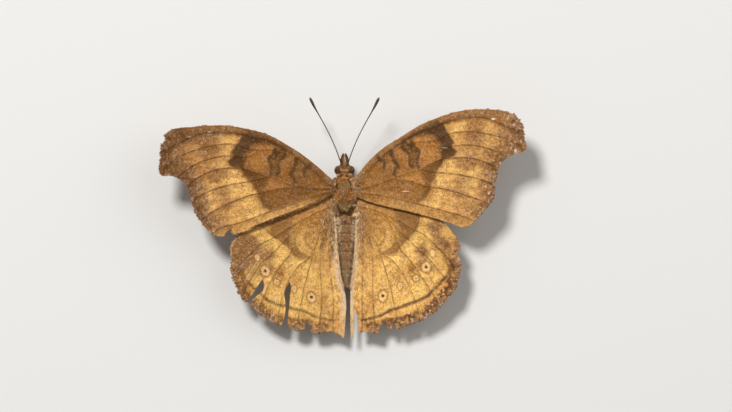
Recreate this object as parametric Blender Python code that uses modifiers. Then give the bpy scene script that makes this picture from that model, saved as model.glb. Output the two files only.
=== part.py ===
"""A chocolate pansy butterfly, life size, standing on its four walking legs with its wings spread flat.

The head points along +Y, the wings spread along X and the feet stand on Z = 0. Sizes are in millimetres in
the tables below, and MM turns them into Blender's metres. Both sides share one plan of the wings, measured on
the right; the left wings follow it carried onto their own landmarks, as the two sides never sit quite alike.
"""

import math

import bmesh
import bpy
import numpy as np
from mathutils import Vector
from mathutils.geometry import delaunay_2d_cdt

MM = 0.001
GAP = 0.3
SMALL_GAP = 0.18
RIGHT, LEFT = 1, -1
SIDES = {"left": LEFT, "right": RIGHT}

# Wing plan of the right forewing: runs of points, smooth within a run and with a corner where two runs meet
FORE_COSTA = [(1.9, 3.9), (4.3, 6.8), (6.7, 8.9), (9.4, 10.6), (12.8, 12.7), (16.2, 14.1), (19.6, 15.1),
              (23.0, 15.4), (26.4, 15.2), (28.3, 14.7), (29.5, 13.8)]
FORE_APEX = [(29.5, 13.8), (30.2, 12.4), (30.4, 10.5), (30.8, 9.0)]
FORE_HOLLOW = [(30.8, 9.0), (30.3, 8.2), (28.5, 7.7), (26.9, 6.6), (25.9, 5.1), (25.7, 3.4), (25.5, 1.5),
               (24.9, -0.2), (23.7, -1.7), (22.5, -3.1), (21.3, -4.3)]
FORE_REAR = [(21.3, -4.3), (20.1, -4.6), (17.9, -3.9), (15.4, -3.1), (12.0, -2.2), (8.6, -1.4), (5.7, -0.7),
             (3.7, -0.1), (2.1, 0.5)]

# Wing plan of the right hindwing
HIND_FRONT = [(2.1, -0.3), (5.2, 0.3), (9.4, -0.7), (13.7, -1.9), (16.2, -3.2), (17.9, -4.9), (19.1, -6.6),
              (19.6, -8.3)]
HIND_OUTER = [(19.6, -8.3), (19.5, -9.5), (19.8, -11.2), (19.3, -13.3), (18.6, -15.3), (17.3, -16.8),
              (15.6, -18.7), (13.7, -20.1), (11.8, -20.9), (10.1, -21.4), (8.9, -22.0), (7.4, -21.8),
              (5.9, -22.6), (4.0, -22.4), (2.6, -22.4), (1.4, -23.3)]
HIND_FOLD = [(1.4, -23.3), (1.1, -23.1), (1.0, -20.1), (1.0, -17.0), (1.1, -15.0), (1.5, -12.6), (1.8, -9.9),
             (2.0, -7.1), (2.0, -4.8), (2.1, -3.2), (2.2, -2.2)]

# Veins of the right wings, root to margin
FORE_VEINS = [
    [(2.3, 2.7), (4.7, 5.8), (8.1, 8.7), (11.5, 10.9), (14.5, 12.2), (17.9, 13.4), (20.5, 14.0), (23.0, 14.1),
     (24.7, 13.7), (26.4, 12.9), (28.1, 12.2), (30.0, 11.7)],
    [(8.1, 8.7), (12.0, 9.8), (14.0, 9.9), (15.6, 10.2), (17.9, 11.3), (20.5, 11.6), (22.7, 11.5),
     (25.1, 11.0), (27.3, 10.4), (30.0, 9.2)],
    [(14.0, 9.9), (15.6, 8.9), (17.3, 9.0), (19.3, 9.3), (21.3, 9.3), (23.4, 9.0), (25.6, 8.3), (27.6, 7.3)],
    [(12.5, 5.1), (14.2, 5.9), (15.9, 6.8), (17.6, 7.1), (20.0, 7.2), (22.0, 7.0), (23.9, 6.4), (25.9, 5.5)],
    [(2.3, 1.9), (5.7, 2.7), (9.4, 4.1), (12.5, 5.1), (14.9, 4.8), (17.9, 4.5), (20.5, 4.1), (22.7, 3.6),
     (25.4, 2.6)],
    [(8.1, 3.6), (9.8, 3.4), (11.5, 3.1), (13.7, 2.4), (16.2, 2.0), (18.8, 1.4), (21.3, 0.6), (24.7, -0.7)],
    [(2.3, 1.2), (5.2, 1.0), (7.7, 0.5), (10.3, -0.1), (12.8, -0.7), (15.4, -1.4), (17.9, -2.1), (20.0, -2.7),
     (22.0, -3.5)],
]
HIND_VEINS = [
    [(2.3, -0.9), (5.2, -1.7), (8.6, -3.2), (12.0, -5.1), (13.7, -6.0), (15.6, -7.8), (17.1, -9.4),
     (19.3, -12.2)],
    [(6.3, -2.1), (7.5, -3.3), (9.1, -4.9), (10.8, -6.6), (12.5, -8.3), (14.2, -9.8), (15.7, -11.6),
     (17.3, -13.6), (18.4, -15.4)],
    [(7.5, -3.3), (8.4, -5.9), (9.4, -8.2), (11.1, -10.2), (12.8, -12.6), (14.5, -15.1), (16.2, -17.9)],
    [(2.3, -1.3), (4.0, -4.2), (5.4, -7.3), (6.5, -9.0), (8.1, -10.2), (9.4, -11.7), (10.6, -13.8),
     (11.6, -16.0), (12.3, -18.0), (12.7, -20.3)],
    [(5.4, -7.3), (6.5, -10.5), (7.2, -12.8), (7.9, -15.0), (8.2, -16.7), (8.6, -18.4), (9.2, -21.6)],
    [(4.0, -4.2), (4.7, -9.4), (4.8, -12.8), (4.8, -15.3), (4.9, -17.9), (5.1, -20.1), (5.2, -22.3)],
    [(2.5, -2.2), (2.9, -6.0), (3.1, -10.5), (3.0, -15.3), (3.0, -20.1), (3.0, -22.2)],
]

# Landmarks that carry the right wing's plan onto the left wing: (right place, left place mirrored)
FORE_LANDMARKS = [
    ((2.1, 4.1), (2.0, 3.4)), ((9.4, 10.6), (9.8, 9.4)), ((16.2, 14.1), (16.7, 12.1)),
    ((25.1, 15.4), (26.3, 12.4)), ((29.5, 13.8), (30.5, 10.9)), ((30.8, 9.0), (31.4, 4.9)),
    ((25.9, 5.1), (26.6, 2.2)), ((25.5, 1.5), (25.6, -1.0)), ((23.7, -1.7), (23.7, -4.4)),
    ((20.8, -4.5), (21.5, -6.1)), ((15.4, -3.1), (16.1, -5.1)), ((5.7, -0.7), (4.8, -0.5)),
    ((2.1, 0.3), (1.8, 1.0)), ((18.8, 8.5), (19.5, 6.8)), ((15.6, 4.8), (16.4, 3.2)),
    ((14.4, 2.2), (14.9, 1.0)), ((9.4, 4.1), (9.4, 2.7)), ((12.5, 5.1), (12.5, 3.9)),
]
HIND_LANDMARKS = [
    ((2.1, -0.5), (1.8, -0.5)), ((16.2, -3.2), (17.8, -5.8)), ((19.6, -8.3), (19.4, -9.2)),
    ((19.8, -11.2), (19.3, -11.9)), ((18.6, -15.3), (17.6, -16.3)), ((15.6, -18.7), (14.0, -19.6)),
    ((11.8, -20.9), (10.6, -21.4)), ((8.9, -22.0), (7.9, -22.2)), ((4.0, -22.4), (3.1, -22.4)),
    ((1.3, -23.3), (0.3, -23.3)), ((1.0, -17.0), (-0.25, -17.3)), ((1.5, -12.6), (0.75, -13.1)),
    ((2.0, -7.1), (1.45, -7.1)), ((6.5, -9.0), (6.0, -9.7)), ((14.8, -9.0), (14.6, -9.7)),
    ((13.7, -11.4), (13.3, -12.1)), ((12.1, -13.1), (11.5, -13.8)), ((9.4, -14.5), (8.5, -15.0)),
    ((6.5, -16.4), (5.6, -16.6)),
]

# Wear of this specimen: each notch starts and ends on the margin, and the outline is cut back to it
WEAR = {
    ("fore", "left"): [
        [(30.6, 11.0), (30.2, 10.1), (31.1, 9.3)],
        [(20.3, -5.7), (19.3, -4.8), (19.0, -5.5), (18.4, -6.0)],
    ],
    ("fore", "right"): [[(25.6, 3.2), (25.1, 2.8), (25.5, 2.2)]],
    ("hind", "left"): [
        [(16.3, -17.4), (16.0, -16.6), (15.0, -15.0), (14.2, -13.8), (13.8, -13.5), (13.6, -14.6),
         (13.9, -15.5), (14.9, -16.3), (15.6, -16.9), (15.8, -17.7)],
        [(10.6, -21.4), (10.2, -20.1), (10.0, -18.4), (10.1, -17.0), (10.3, -16.0), (10.0, -15.0),
         (9.3, -13.9), (9.1, -14.8), (9.3, -17.0), (9.5, -19.0), (9.7, -20.6), (9.6, -21.5)],
        [(6.9, -22.3), (6.6, -21.3), (6.4, -20.2), (6.0, -21.3), (5.8, -22.2)],
    ],
    ("hind", "right"): [
        [(2.4, -22.4), (2.4, -21.2), (2.2, -20.1), (1.8, -18.4), (1.6, -20.1), (1.5, -23.3)],
        [(7.4, -22.0), (7.2, -21.1), (6.9, -20.8), (6.0, -21.4), (5.8, -22.6)],
        [(9.0, -22.1), (8.7, -21.4), (8.5, -20.4), (8.3, -21.5), (8.1, -21.9)],
        [(12.2, -20.8), (11.95, -19.2), (11.75, -20.9)],
        [(19.5, -8.5), (19.0, -8.8), (19.2, -9.4), (19.5, -9.7)],
    ],
}

# Wing sheet: the forewings lie over the hindwings on one shared, gently arched surface
MEMBRANE = 0.5
RIDGE = 0.72
VEIN_HALF_WIDTH = 0.38
SHEET_HEIGHT = 6.0
DIHEDRAL = math.radians(7.0)
ARCH_SLOPE, ARCH_RADIUS = 0.07, 8.0
ARCH_AXIS_START, ARCH_AXIS_SWEEP = 2.0, 0.3
FORE_LIFT, HIND_LIFT = 0.62, -0.53
OUTLINE_STEP, VEIN_STEP, FILL_STEP = 0.9, 1.7, 2.6
MERGE = 0.04

# Body stations, front to rear: (y, half width, half height, x, z), closed by a flat face at each end
THORAX = [(4.2, 0.80, 0.85, 0.0, 5.25), (3.95, 1.02, 1.10, 0.0, 5.25), (3.55, 1.12, 1.25, 0.0, 5.25),
          (3.3, 1.12, 1.30, 0.0, 5.25), (2.9, 1.45, 1.60, 0.0, 5.25), (2.2, 1.72, 1.90, 0.0, 5.3),
          (1.3, 1.86, 2.08, 0.0, 5.3), (0.3, 1.87, 2.10, 0.0, 5.3), (-0.6, 1.75, 1.95, 0.0, 5.25),
          (-1.3, 1.50, 1.70, 0.0, 5.2), (-1.8, 1.25, 1.45, 0.0, 5.15), (-2.2, 0.95, 1.10, 0.0, 5.1)]
HEAD = [(6.4, 0.35, 0.35, 0.0, 5.0), (6.2, 0.70, 0.75, 0.0, 5.05), (5.8, 0.95, 1.02, 0.0, 5.12),
        (5.3, 1.02, 1.15, 0.0, 5.2), (4.85, 0.98, 1.08, 0.0, 5.25), (4.5, 0.75, 0.80, 0.0, 5.25)]
ABDOMEN_START, ABDOMEN_END = -2.5, -14.8
ABDOMEN_SEGMENTS = 8
ABDOMEN_GIRTH = [(0.0, 1.0), (0.06, 1.28), (0.15, 1.48), (0.3, 1.42), (0.5, 1.24), (0.76, 0.96), (0.9, 0.70),
                 (0.97, 0.50), (1.0, 0.36)]
ABDOMEN_BEND = [(0.0, 0.05), (0.2, 0.28), (0.75, 0.40), (1.0, 0.36)]
ABDOMEN_DROP, ABDOMEN_HEIGHT = 1.35, 4.95
SEGMENT_GROOVE = 0.93

EYE_CENTRE, EYE_RADII = (0.95, 5.05, 5.25), (0.80, 0.83, 1.0)
EYE_INNER_FACE = 0.66
EYE_LIGHT, EYE_RINGS = 20, 12

# Limbs and mouthparts: (x, y, z, radius) along the right-hand one, root to tip
ANTENNA = [(0.45, 5.7, 5.75, 0.27), (0.68, 6.5, 6.05, 0.26), (1.35, 8.4, 6.65, 0.25), (2.2, 10.4, 7.2, 0.25),
           (3.25, 12.5, 7.8, 0.25), (4.48, 14.7, 8.45, 0.25), (5.1, 15.8, 8.75, 0.32), (5.5, 16.6, 8.95, 0.38),
           (5.75, 17.1, 9.08, 0.30), (5.88, 17.4, 9.15, 0.12)]
PALP = [(0.42, 5.8, 4.65, 0.24), (0.46, 6.4, 4.7, 0.27), (0.44, 6.9, 4.85, 0.27), (0.36, 7.35, 5.05, 0.20),
        (0.26, 7.75, 5.25, 0.06)]
FORELEG = [(0.6, 2.9, 4.2, 0.25), (0.78, 3.3, 3.55, 0.25), (0.85, 4.2, 3.6, 0.25), (0.72, 4.9, 3.75, 0.16)]
MIDLEG = [(0.7, 1.6, 4.2, 0.38), (0.95, 1.7, 3.3, 0.38), (1.15, 1.8, 2.98, 0.36), (1.5, 1.97, 3.0, 0.34),
          (2.6, 2.53, 3.62, 0.35), (3.6, 3.04, 4.18, 0.30), (3.95, 3.22, 4.26, 0.30), (4.2, 3.36, 4.06, 0.29),
          (5.3, 3.97, 2.45, 0.28), (6.3, 4.55, 0.85, 0.26), (6.6, 4.75, 0.42, 0.27), (7.0, 5.08, 0.22, 0.28),
          (7.7, 5.69, 0.20, 0.28), (9.3, 7.1, 0.20, 0.28), (9.7, 7.45, 0.18, 0.22)]
HINDLEG = [(0.65, -0.5, 4.2, 0.38), (0.9, -0.62, 3.3, 0.38), (1.1, -0.75, 2.98, 0.36),
           (1.4, -1.02, 3.0, 0.34), (2.4, -2.06, 3.62, 0.35), (3.3, -3.0, 4.18, 0.30),
           (3.6, -3.35, 4.26, 0.30), (3.83, -3.68, 4.06, 0.29), (4.8, -5.2, 2.45, 0.28),
           (5.8, -6.78, 0.85, 0.26), (6.1, -7.25, 0.42, 0.27), (6.45, -7.75, 0.22, 0.28),
           (6.95, -8.45, 0.20, 0.28), (8.3, -10.3, 0.20, 0.28), (8.6, -10.7, 0.18, 0.22)]
COIL_CENTRE, COIL_RADII, COIL_TURNS, COIL_THICKNESS = (0.0, 6.0, 3.2), (0.92, 0.26), 1.05, 0.20
MOUTH = (0.0, 5.85, 4.7, 0.20)

COLOURS = {
    "wing": ((0.36, 0.17, 0.06), 0.75),
    "fur": ((0.20, 0.12, 0.05), 0.85),
    "eye": ((0.05, 0.02, 0.02), 0.25),
    "feeler": ((0.06, 0.03, 0.015), 0.5),
    "leg": ((0.28, 0.18, 0.09), 0.6),
}


def clear_scene():
    for obj in list(bpy.data.objects):
        bpy.data.objects.remove(obj)


def collection(name):
    made = bpy.data.collections.new(name)
    bpy.context.scene.collection.children.link(made)
    return made


def material(name, kind):
    colour, roughness = COLOURS[kind]
    made = bpy.data.materials.new(name)
    made.use_nodes = True
    shader = made.node_tree.nodes["Principled BSDF"]
    shader.inputs["Base Color"].default_value = (*colour, 1.0)
    shader.inputs["Roughness"].default_value = roughness
    shader.inputs["Metallic"].default_value = 0.0
    return made


def object_from(bm, name, home, kind):
    """A mesh object from the bmesh, its faces turned outward once their normals are up to date."""
    bm.normal_update()
    bmesh.ops.recalc_face_normals(bm, faces=bm.faces)
    mesh = bpy.data.meshes.new(name)
    bm.to_mesh(mesh)
    bm.free()
    mesh.materials.append(material(name, kind))
    mesh.shade_smooth()
    obj = bpy.data.objects.new(name, mesh)
    home.objects.link(obj)
    return obj


def smooth_line(points, step):
    """Points about a step apart on a smooth curve through the given ones, ends included."""
    points = np.array(points, float)
    before, after = 2 * points[0] - points[1], 2 * points[-1] - points[-2]
    padded = np.vstack([before, points, after])
    line = []
    for a, b, c, d in zip(padded, padded[1:], padded[2:], padded[3:]):
        count = max(1, round(np.linalg.norm(c - b) / step))
        for t in np.arange(count) / count:
            line.append(0.5 * (2 * b + (c - a) * t + (2 * a - 5 * b + 4 * c - d) * t**2
                               + (3 * b - a - 3 * c + d) * t**3))
    return np.array([*line, points[-1]])


def plan_carrier(landmarks):
    """A smooth map of the plane, a thin-plate spline, that takes each first place to its second."""
    source, target = (np.array(places, float) for places in zip(*landmarks))

    def kernel(a, b):
        squared = ((a[:, None] - b[None]) ** 2).sum(-1)
        return 0.5 * squared * np.log(np.maximum(squared, 1e-12))

    def flat(points):
        return np.hstack([np.ones((len(points), 1)), points])

    n = len(source)
    system = np.zeros((n + 3, n + 3))
    system[:n, :n], system[:n, n:], system[n:, :n] = kernel(source, source), flat(source), flat(source).T
    weights = np.linalg.solve(system, np.vstack([target, np.zeros((3, 2))]))
    return lambda points: np.hstack([kernel(np.array(points), source), flat(np.array(points))]) @ weights


def thorax_reach(y, z):
    """Half the thorax's width at a station and a height."""
    rows = np.array(sorted(THORAX))
    width, height, centre = (np.interp(y, rows[:, 0], rows[:, k]) for k in (1, 2, 4))
    return width * np.sqrt(np.clip(1 - ((z - centre) / height) ** 2, 0, 1))


def sheet_height(x, y, lift):
    """Height of a wing's middle surface at a distance x from the midline."""
    behind = y - (ARCH_AXIS_START + ARCH_AXIS_SWEEP * x)
    arch = ARCH_SLOPE * (np.sqrt(behind**2 + ARCH_RADIUS**2) - ARCH_RADIUS)
    return SHEET_HEIGHT + lift + math.tan(DIHEDRAL) * x - arch


def seat_root(outline, lift):
    """Brings the wing's root, the points nearer the midline than the thorax's side, out to a gap from it."""
    x, y = outline.T
    inside = (y > THORAX[-1][0] - GAP) & (y < THORAX[0][0])
    least = thorax_reach(y, sheet_height(x, y, lift)) + GAP + 0.05
    return np.column_stack([np.where(inside, np.maximum(x, least), x), y])


def wear_away(outline, notch):
    """The outline with the stretch between the notch's ends replaced by the notch."""
    notch = np.array(notch)
    start, end = (int(np.argmin(((outline - place) ** 2).sum(1))) for place in (notch[0], notch[-1]))
    if start > end:
        start, end, notch = end, start, notch[::-1]
    return np.vstack([outline[:start], notch, outline[end + 1:]])


def distance_to_lines(points, lines):
    """Each point's distance to the nearest of several polylines."""
    nearest = np.full(len(points), np.inf)
    for line in lines:
        a, b = line[:-1], line[1:]
        along = b - a
        t = ((points[:, None] - a) * along).sum(-1) / (along**2).sum(-1)
        foot = a + np.clip(t, 0, 1)[..., None] * along
        nearest = np.minimum(nearest, np.sqrt(((points[:, None] - foot) ** 2).sum(-1)).min(1))
    return nearest


def wing_plan(pair, side):
    """(outline, veins) of one wing, in millimetres, x away from the midline."""
    runs, veins, landmarks = {
        "fore": ([FORE_COSTA, FORE_APEX, FORE_HOLLOW, FORE_REAR], FORE_VEINS, FORE_LANDMARKS),
        "hind": ([HIND_FRONT, HIND_OUTER, HIND_FOLD], HIND_VEINS, HIND_LANDMARKS),
    }[pair]
    outline = np.vstack([smooth_line(run, OUTLINE_STEP)[:-1] for run in runs] + [[runs[-1][-1]]])
    veins = [smooth_line(vein, VEIN_STEP) for vein in veins]
    if side == "left":
        carry = plan_carrier(landmarks)
        outline, veins = carry(outline), [carry(vein) for vein in veins]
    for notch in WEAR[pair, side]:
        outline = wear_away(outline, notch)
    return outline, veins


def flat_sheet(outline, veins):
    """Triangles that fill the outline, with edges along each vein and along both its feet."""
    points, edges = [tuple(p) for p in outline], []
    for vein in veins:
        along = np.gradient(vein, axis=0)
        across = np.column_stack([-along[:, 1], along[:, 0]]) / np.linalg.norm(along, axis=1)[:, None]
        for shift in (-VEIN_HALF_WIDTH, 0.0, VEIN_HALF_WIDTH):
            first = len(points)
            points += [tuple(p) for p in vein + shift * across]
            edges += [(k, k + 1) for k in range(first, len(points) - 1)]
    low, high = outline.min(0), outline.max(0)
    fill = np.array([(x, y) for x in np.arange(low[0], high[0], FILL_STEP)
                     for y in np.arange(low[1], high[1], FILL_STEP)])
    clear = distance_to_lines(fill, [outline, outline[[-1, 0]], *veins]) > 0.45 * FILL_STEP
    points += [tuple(p) for p in fill[clear]]
    rim = [list(range(len(outline)))]
    inside_only = 1
    found = delaunay_2d_cdt([Vector(p) for p in points], edges, rim, inside_only, MERGE)
    return np.array([tuple(v) for v in found[0]]), found[2]


def build_wing(pair, side, home, kind):
    sign, lift = SIDES[side], {"fore": FORE_LIFT, "hind": HIND_LIFT}[pair]
    outline, veins = wing_plan(pair, side)
    outline = seat_root(outline, lift)
    if outline[0][1] < outline[len(outline) // 2][1]:
        outline = outline[::-1]
    plan, triangles = flat_sheet(outline, veins)
    heights = sheet_height(plan[:, 0], plan[:, 1], lift)
    bm = bmesh.new()
    for (x, y), z in zip(plan, heights):
        bm.verts.new((sign * x * MM, y * MM, z * MM))
    bm.verts.ensure_lookup_table()
    for corners in triangles:
        bm.faces.new([bm.verts[k] for k in corners])
    loose = [v for v in bm.verts if not v.link_faces]
    bmesh.ops.delete(bm, geom=loose, context="VERTS")
    wing = object_from(bm, f"{pair}wing_{side}", home, kind)
    places = np.array([v.co[:2] for v in wing.data.vertices]) / MM * (sign, 1)
    raised = np.clip(1 - distance_to_lines(places, veins) / VEIN_HALF_WIDTH, 0, 1)
    ridge = wing.vertex_groups.new(name="ridge")
    for index, weight in enumerate(raised):
        ridge.add([index], float(weight), "REPLACE")
    thicken = wing.modifiers.new("thickness", "SOLIDIFY")
    thicken.thickness = RIDGE * MM
    thicken.offset = 0.0
    thicken.vertex_group = "ridge"
    thicken.thickness_vertex_group = MEMBRANE / RIDGE
    return wing


def spindle(name, stations, home, kind, around=20, grow=0.0):
    """A long round body: a sphere whose rings of latitude are set on the stations, flat at both ends."""
    rows = [list(row) for row in stations]
    rows[0][0] += grow
    rows[-1][0] -= grow
    rings = len(rows)
    bm = bmesh.new()
    bmesh.ops.create_uvsphere(bm, u_segments=around, v_segments=rings + 1, radius=1.0)
    for v in bm.verts:
        latitude = math.acos(max(-1.0, min(1.0, v.co.z))) / math.pi * (rings + 1)
        index = round(latitude)
        y, wide, high, x, z = rows[min(max(index - 1, 0), rings - 1)]
        spread = Vector((v.co.x, v.co.y))
        spread = spread.normalized() if 0 < index < rings + 1 else Vector((0, 0))
        v.co = Vector((x - spread.x * (wide + grow), y, z + spread.y * (high + grow))) * MM
    return object_from(bm, name, home, kind)


def abdomen_station(share, swell):
    """One ring of the abdomen, a share of the way from the waist to the tip."""
    girth = float(np.interp(share, *zip(*ABDOMEN_GIRTH))) * swell
    x = float(np.interp(share, *zip(*ABDOMEN_BEND)))
    y = ABDOMEN_START + share * (ABDOMEN_END - ABDOMEN_START)
    return y, girth, girth * 1.04, x, ABDOMEN_HEIGHT - ABDOMEN_DROP * share


def abdomen_stations():
    """Rings that swell in each segment and draw in at each joint."""
    rows = []
    for k in range(ABDOMEN_SEGMENTS):
        for part, swell in ((0.0, SEGMENT_GROOVE), (0.18, 1.0), (0.8, 1.0)):
            rows.append(abdomen_station((k + part) / ABDOMEN_SEGMENTS, swell))
    return [*rows, abdomen_station(1.0, SEGMENT_GROOVE)]


def tube(name, path, side, home, kind, floor=False):
    """A tapering limb: a curve through the path, made a closed mesh and cut flat where it meets the floor."""
    curve = bpy.data.curves.new(name, "CURVE")
    curve.dimensions = "3D"
    curve.bevel_depth = MM
    curve.bevel_resolution = 2
    curve.use_fill_caps = True
    spline = curve.splines.new("POLY")
    spline.points.add(len(path) - 1)
    for point, (x, y, z, radius) in zip(spline.points, path):
        point.co = (side * x * MM, y * MM, z * MM, 1.0)
        point.radius = radius
    guide = bpy.data.objects.new(name + "_guide", curve)
    home.objects.link(guide)
    bpy.context.view_layer.update()
    evaluated = guide.evaluated_get(bpy.context.evaluated_depsgraph_get())
    bm = bmesh.new()
    bm.from_mesh(bpy.data.meshes.new_from_object(evaluated))
    bpy.data.objects.remove(guide)
    bmesh.ops.remove_doubles(bm, verts=bm.verts, dist=0.002 * MM)
    if floor:
        everything = [*bm.verts, *bm.edges, *bm.faces]
        bmesh.ops.bisect_plane(bm, geom=everything, plane_co=(0, 0, 0), plane_no=(0, 0, 1), clear_inner=True,
                               dist=0.001 * MM)
        bmesh.ops.holes_fill(bm, edges=bm.edges, sides=0)
    return object_from(bm, name, home, kind)


def rounded_path(path, step):
    """The path's points with a smooth curve through them, for limbs that bend gently."""
    return [tuple(row) for row in smooth_line(path, step)]


def coil_path():
    """A flat spiral under the head, from the mouth inwards."""
    steps = 22
    path = [MOUTH]
    for k in range(steps + 1):
        share = k / steps
        angle = math.pi / 2 - share * COIL_TURNS * 2 * math.pi
        radius = COIL_RADII[0] + (COIL_RADII[1] - COIL_RADII[0]) * share
        x, y, z = COIL_CENTRE
        path.append((x, y + radius * math.cos(angle), z + radius * math.sin(angle), COIL_THICKNESS))
    return path


def eye_ball(name, side, home, kind, grow=0.0):
    """An oval eye, flat where it faces the head's middle."""
    bm = bmesh.new()
    bmesh.ops.create_uvsphere(bm, u_segments=EYE_LIGHT, v_segments=EYE_RINGS, radius=1.0)
    for v in bm.verts:
        v.co = Vector([(centre + unit * (radius + grow)) * MM
                       for centre, unit, radius in zip(EYE_CENTRE, v.co, EYE_RADII)])
    everything = [*bm.verts, *bm.edges, *bm.faces]
    inner_face = ((EYE_INNER_FACE - grow) * MM, 0, 0)
    bmesh.ops.bisect_plane(bm, geom=everything, plane_co=inner_face, plane_no=(1, 0, 0), clear_inner=True,
                           dist=0.001 * MM)
    bmesh.ops.holes_fill(bm, edges=bm.edges, sides=0)
    for v in bm.verts:
        v.co.x *= side
    return object_from(bm, name, home, kind)


def cut(target, cutter):
    cutter.hide_render = True
    cutter.display_type = "WIRE"
    modifier = target.modifiers.new("clear of " + cutter.name, "BOOLEAN")
    modifier.operation = "DIFFERENCE"
    modifier.object = cutter


def stand_on_origin(parts, tools):
    """Hangs everything from an empty that puts the footprint's middle, at the soles' level, on the origin."""
    bpy.context.view_layer.update()
    depsgraph = bpy.context.evaluated_depsgraph_get()
    finished = [obj.evaluated_get(depsgraph) for obj in parts.objects]
    corners = np.array([tuple(corner) for obj in finished for corner in obj.bound_box])
    low, high = corners.min(0), corners.max(0)
    stand = bpy.data.objects.new("butterfly_origin", None)
    stand.location = (-(low[0] + high[0]) / 2, -(low[1] + high[1]) / 2, -low[2])
    tools.objects.link(stand)
    for obj in [*parts.objects, *tools.objects]:
        if obj != stand:
            obj.parent = stand
    print("moved by, in mm:", [round(value / MM, 3) for value in stand.location])


def build():
    clear_scene()
    butterfly, cutters = collection("chocolate_pansy"), collection("cutters")

    spindle("thorax", THORAX, butterfly, "fur")
    head = spindle("head", HEAD, butterfly, "fur")
    spindle("abdomen", abdomen_stations(), butterfly, "fur")
    thorax_room = spindle("thorax_room", THORAX, cutters, "fur", grow=GAP)
    head_room = spindle("head_room", HEAD, cutters, "fur", grow=SMALL_GAP)

    for side, sign in SIDES.items():
        for pair in ("fore", "hind"):
            build_wing(pair, side, butterfly, "wing")
        eye_ball(f"eye_{side}", sign, butterfly, "eye")
        cut(head, eye_ball(f"socket_{side}", sign, cutters, "eye", grow=SMALL_GAP))
        feelers = [tube(f"antenna_{side}", ANTENNA, sign, butterfly, "feeler"),
                   tube(f"palp_{side}", rounded_path(PALP, 0.3), sign, butterfly, "fur")]
        for piece in feelers:
            cut(piece, head_room)
        legs = [tube(f"foreleg_{side}", rounded_path(FORELEG, 0.4), sign, butterfly, "fur"),
                tube(f"midleg_{side}", MIDLEG, sign, butterfly, "leg", floor=True),
                tube(f"hindleg_{side}", HINDLEG, sign, butterfly, "leg", floor=True)]
        for piece in legs:
            cut(piece, thorax_room)
    proboscis = tube("proboscis", coil_path(), RIGHT, butterfly, "feeler")
    cut(proboscis, head_room)
    stand_on_origin(butterfly, cutters)


build()
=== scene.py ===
# %% [markdown]
# # A chocolate pansy butterfly
# A brown butterfly stands on a pale floor with its wings spread flat, as it did on its leaf in the photo. The
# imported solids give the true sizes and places; this lesson dresses them. Each wing becomes a thin sheet with
# its pattern painted from named curves, then a coat of scales; the body becomes one furry skin.

import math

import bpy
import bmesh
import numpy as np
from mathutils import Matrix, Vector
from mathutils.geometry import delaunay_2d_cdt


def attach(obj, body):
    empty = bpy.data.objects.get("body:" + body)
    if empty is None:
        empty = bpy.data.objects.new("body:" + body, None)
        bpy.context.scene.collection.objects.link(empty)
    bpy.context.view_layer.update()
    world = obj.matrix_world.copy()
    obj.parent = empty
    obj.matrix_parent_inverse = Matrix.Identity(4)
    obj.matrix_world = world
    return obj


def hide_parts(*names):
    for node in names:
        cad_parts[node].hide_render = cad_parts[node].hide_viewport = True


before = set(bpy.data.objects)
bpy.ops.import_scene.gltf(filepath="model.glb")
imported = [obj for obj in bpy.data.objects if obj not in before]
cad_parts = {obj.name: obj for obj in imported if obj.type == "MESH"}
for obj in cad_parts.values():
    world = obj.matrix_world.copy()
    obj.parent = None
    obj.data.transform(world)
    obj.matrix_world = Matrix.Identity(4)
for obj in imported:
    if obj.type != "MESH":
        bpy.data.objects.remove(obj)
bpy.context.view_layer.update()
MM = 0.001
print("solids:", len(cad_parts))

# %% [markdown]
# ## One plan for both sides
# The wings' outlines and veins were measured on the right side, in millimetres from a point on the body's
# middle line. Lists of points are runs: a smooth curve goes through each, and two runs meet in a corner. The
# left wings follow the same plan, carried onto their own landmarks by a thin-plate spline, which is how two
# specimens' wings are compared. PLAN_SHIFT then takes the plan to the middle of the footprint.

# %% The wings' outlines
PLAN_SHIFT = np.array((0.299, 2.933))
SIDES = {"left": -1, "right": 1}

FORE_COSTA = [(1.9, 3.9), (4.3, 6.8), (6.7, 8.9), (9.4, 10.6), (12.8, 12.7), (16.2, 14.1), (19.6, 15.1),
              (23.0, 15.4), (26.4, 15.2), (28.3, 14.7), (29.5, 13.8)]
FORE_APEX = [(29.5, 13.8), (30.2, 12.4), (30.4, 10.5), (30.8, 9.0)]
FORE_HOLLOW = [(30.8, 9.0), (30.3, 8.2), (28.5, 7.7), (26.9, 6.6), (25.9, 5.1), (25.7, 3.4), (25.5, 1.5),
               (24.9, -0.2), (23.7, -1.7), (22.5, -3.1), (21.3, -4.3)]
FORE_REAR = [(21.3, -4.3), (20.1, -4.6), (17.9, -3.9), (15.4, -3.1), (12.0, -2.2), (8.6, -1.4), (5.7, -0.7),
             (3.7, -0.1), (2.1, 0.5)]
HIND_FRONT = [(2.1, 1.5), (3.6, 1.7), (5.2, 1.6), (9.4, 0.6), (13.4, -0.6), (15.4, -1.9), (16.2, -3.2),
              (17.9, -4.9), (19.1, -6.6), (19.6, -8.3)]
HIND_OUTER = [(19.6, -8.3), (19.5, -9.5), (19.8, -11.2), (19.3, -13.3), (18.6, -15.3), (17.3, -16.8),
              (15.6, -18.7), (13.7, -20.1), (11.8, -20.9), (10.1, -21.4), (8.9, -22.0), (7.4, -21.8),
              (5.9, -22.6), (4.0, -22.4), (2.6, -22.4), (1.4, -23.3)]
HIND_FOLD = [(1.4, -23.3), (1.1, -23.1), (1.0, -20.1), (1.0, -17.0), (1.1, -15.0), (1.5, -12.6), (1.8, -9.9),
             (2.0, -7.1), (2.0, -4.8), (2.1, -3.2), (2.2, -2.2)]

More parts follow.
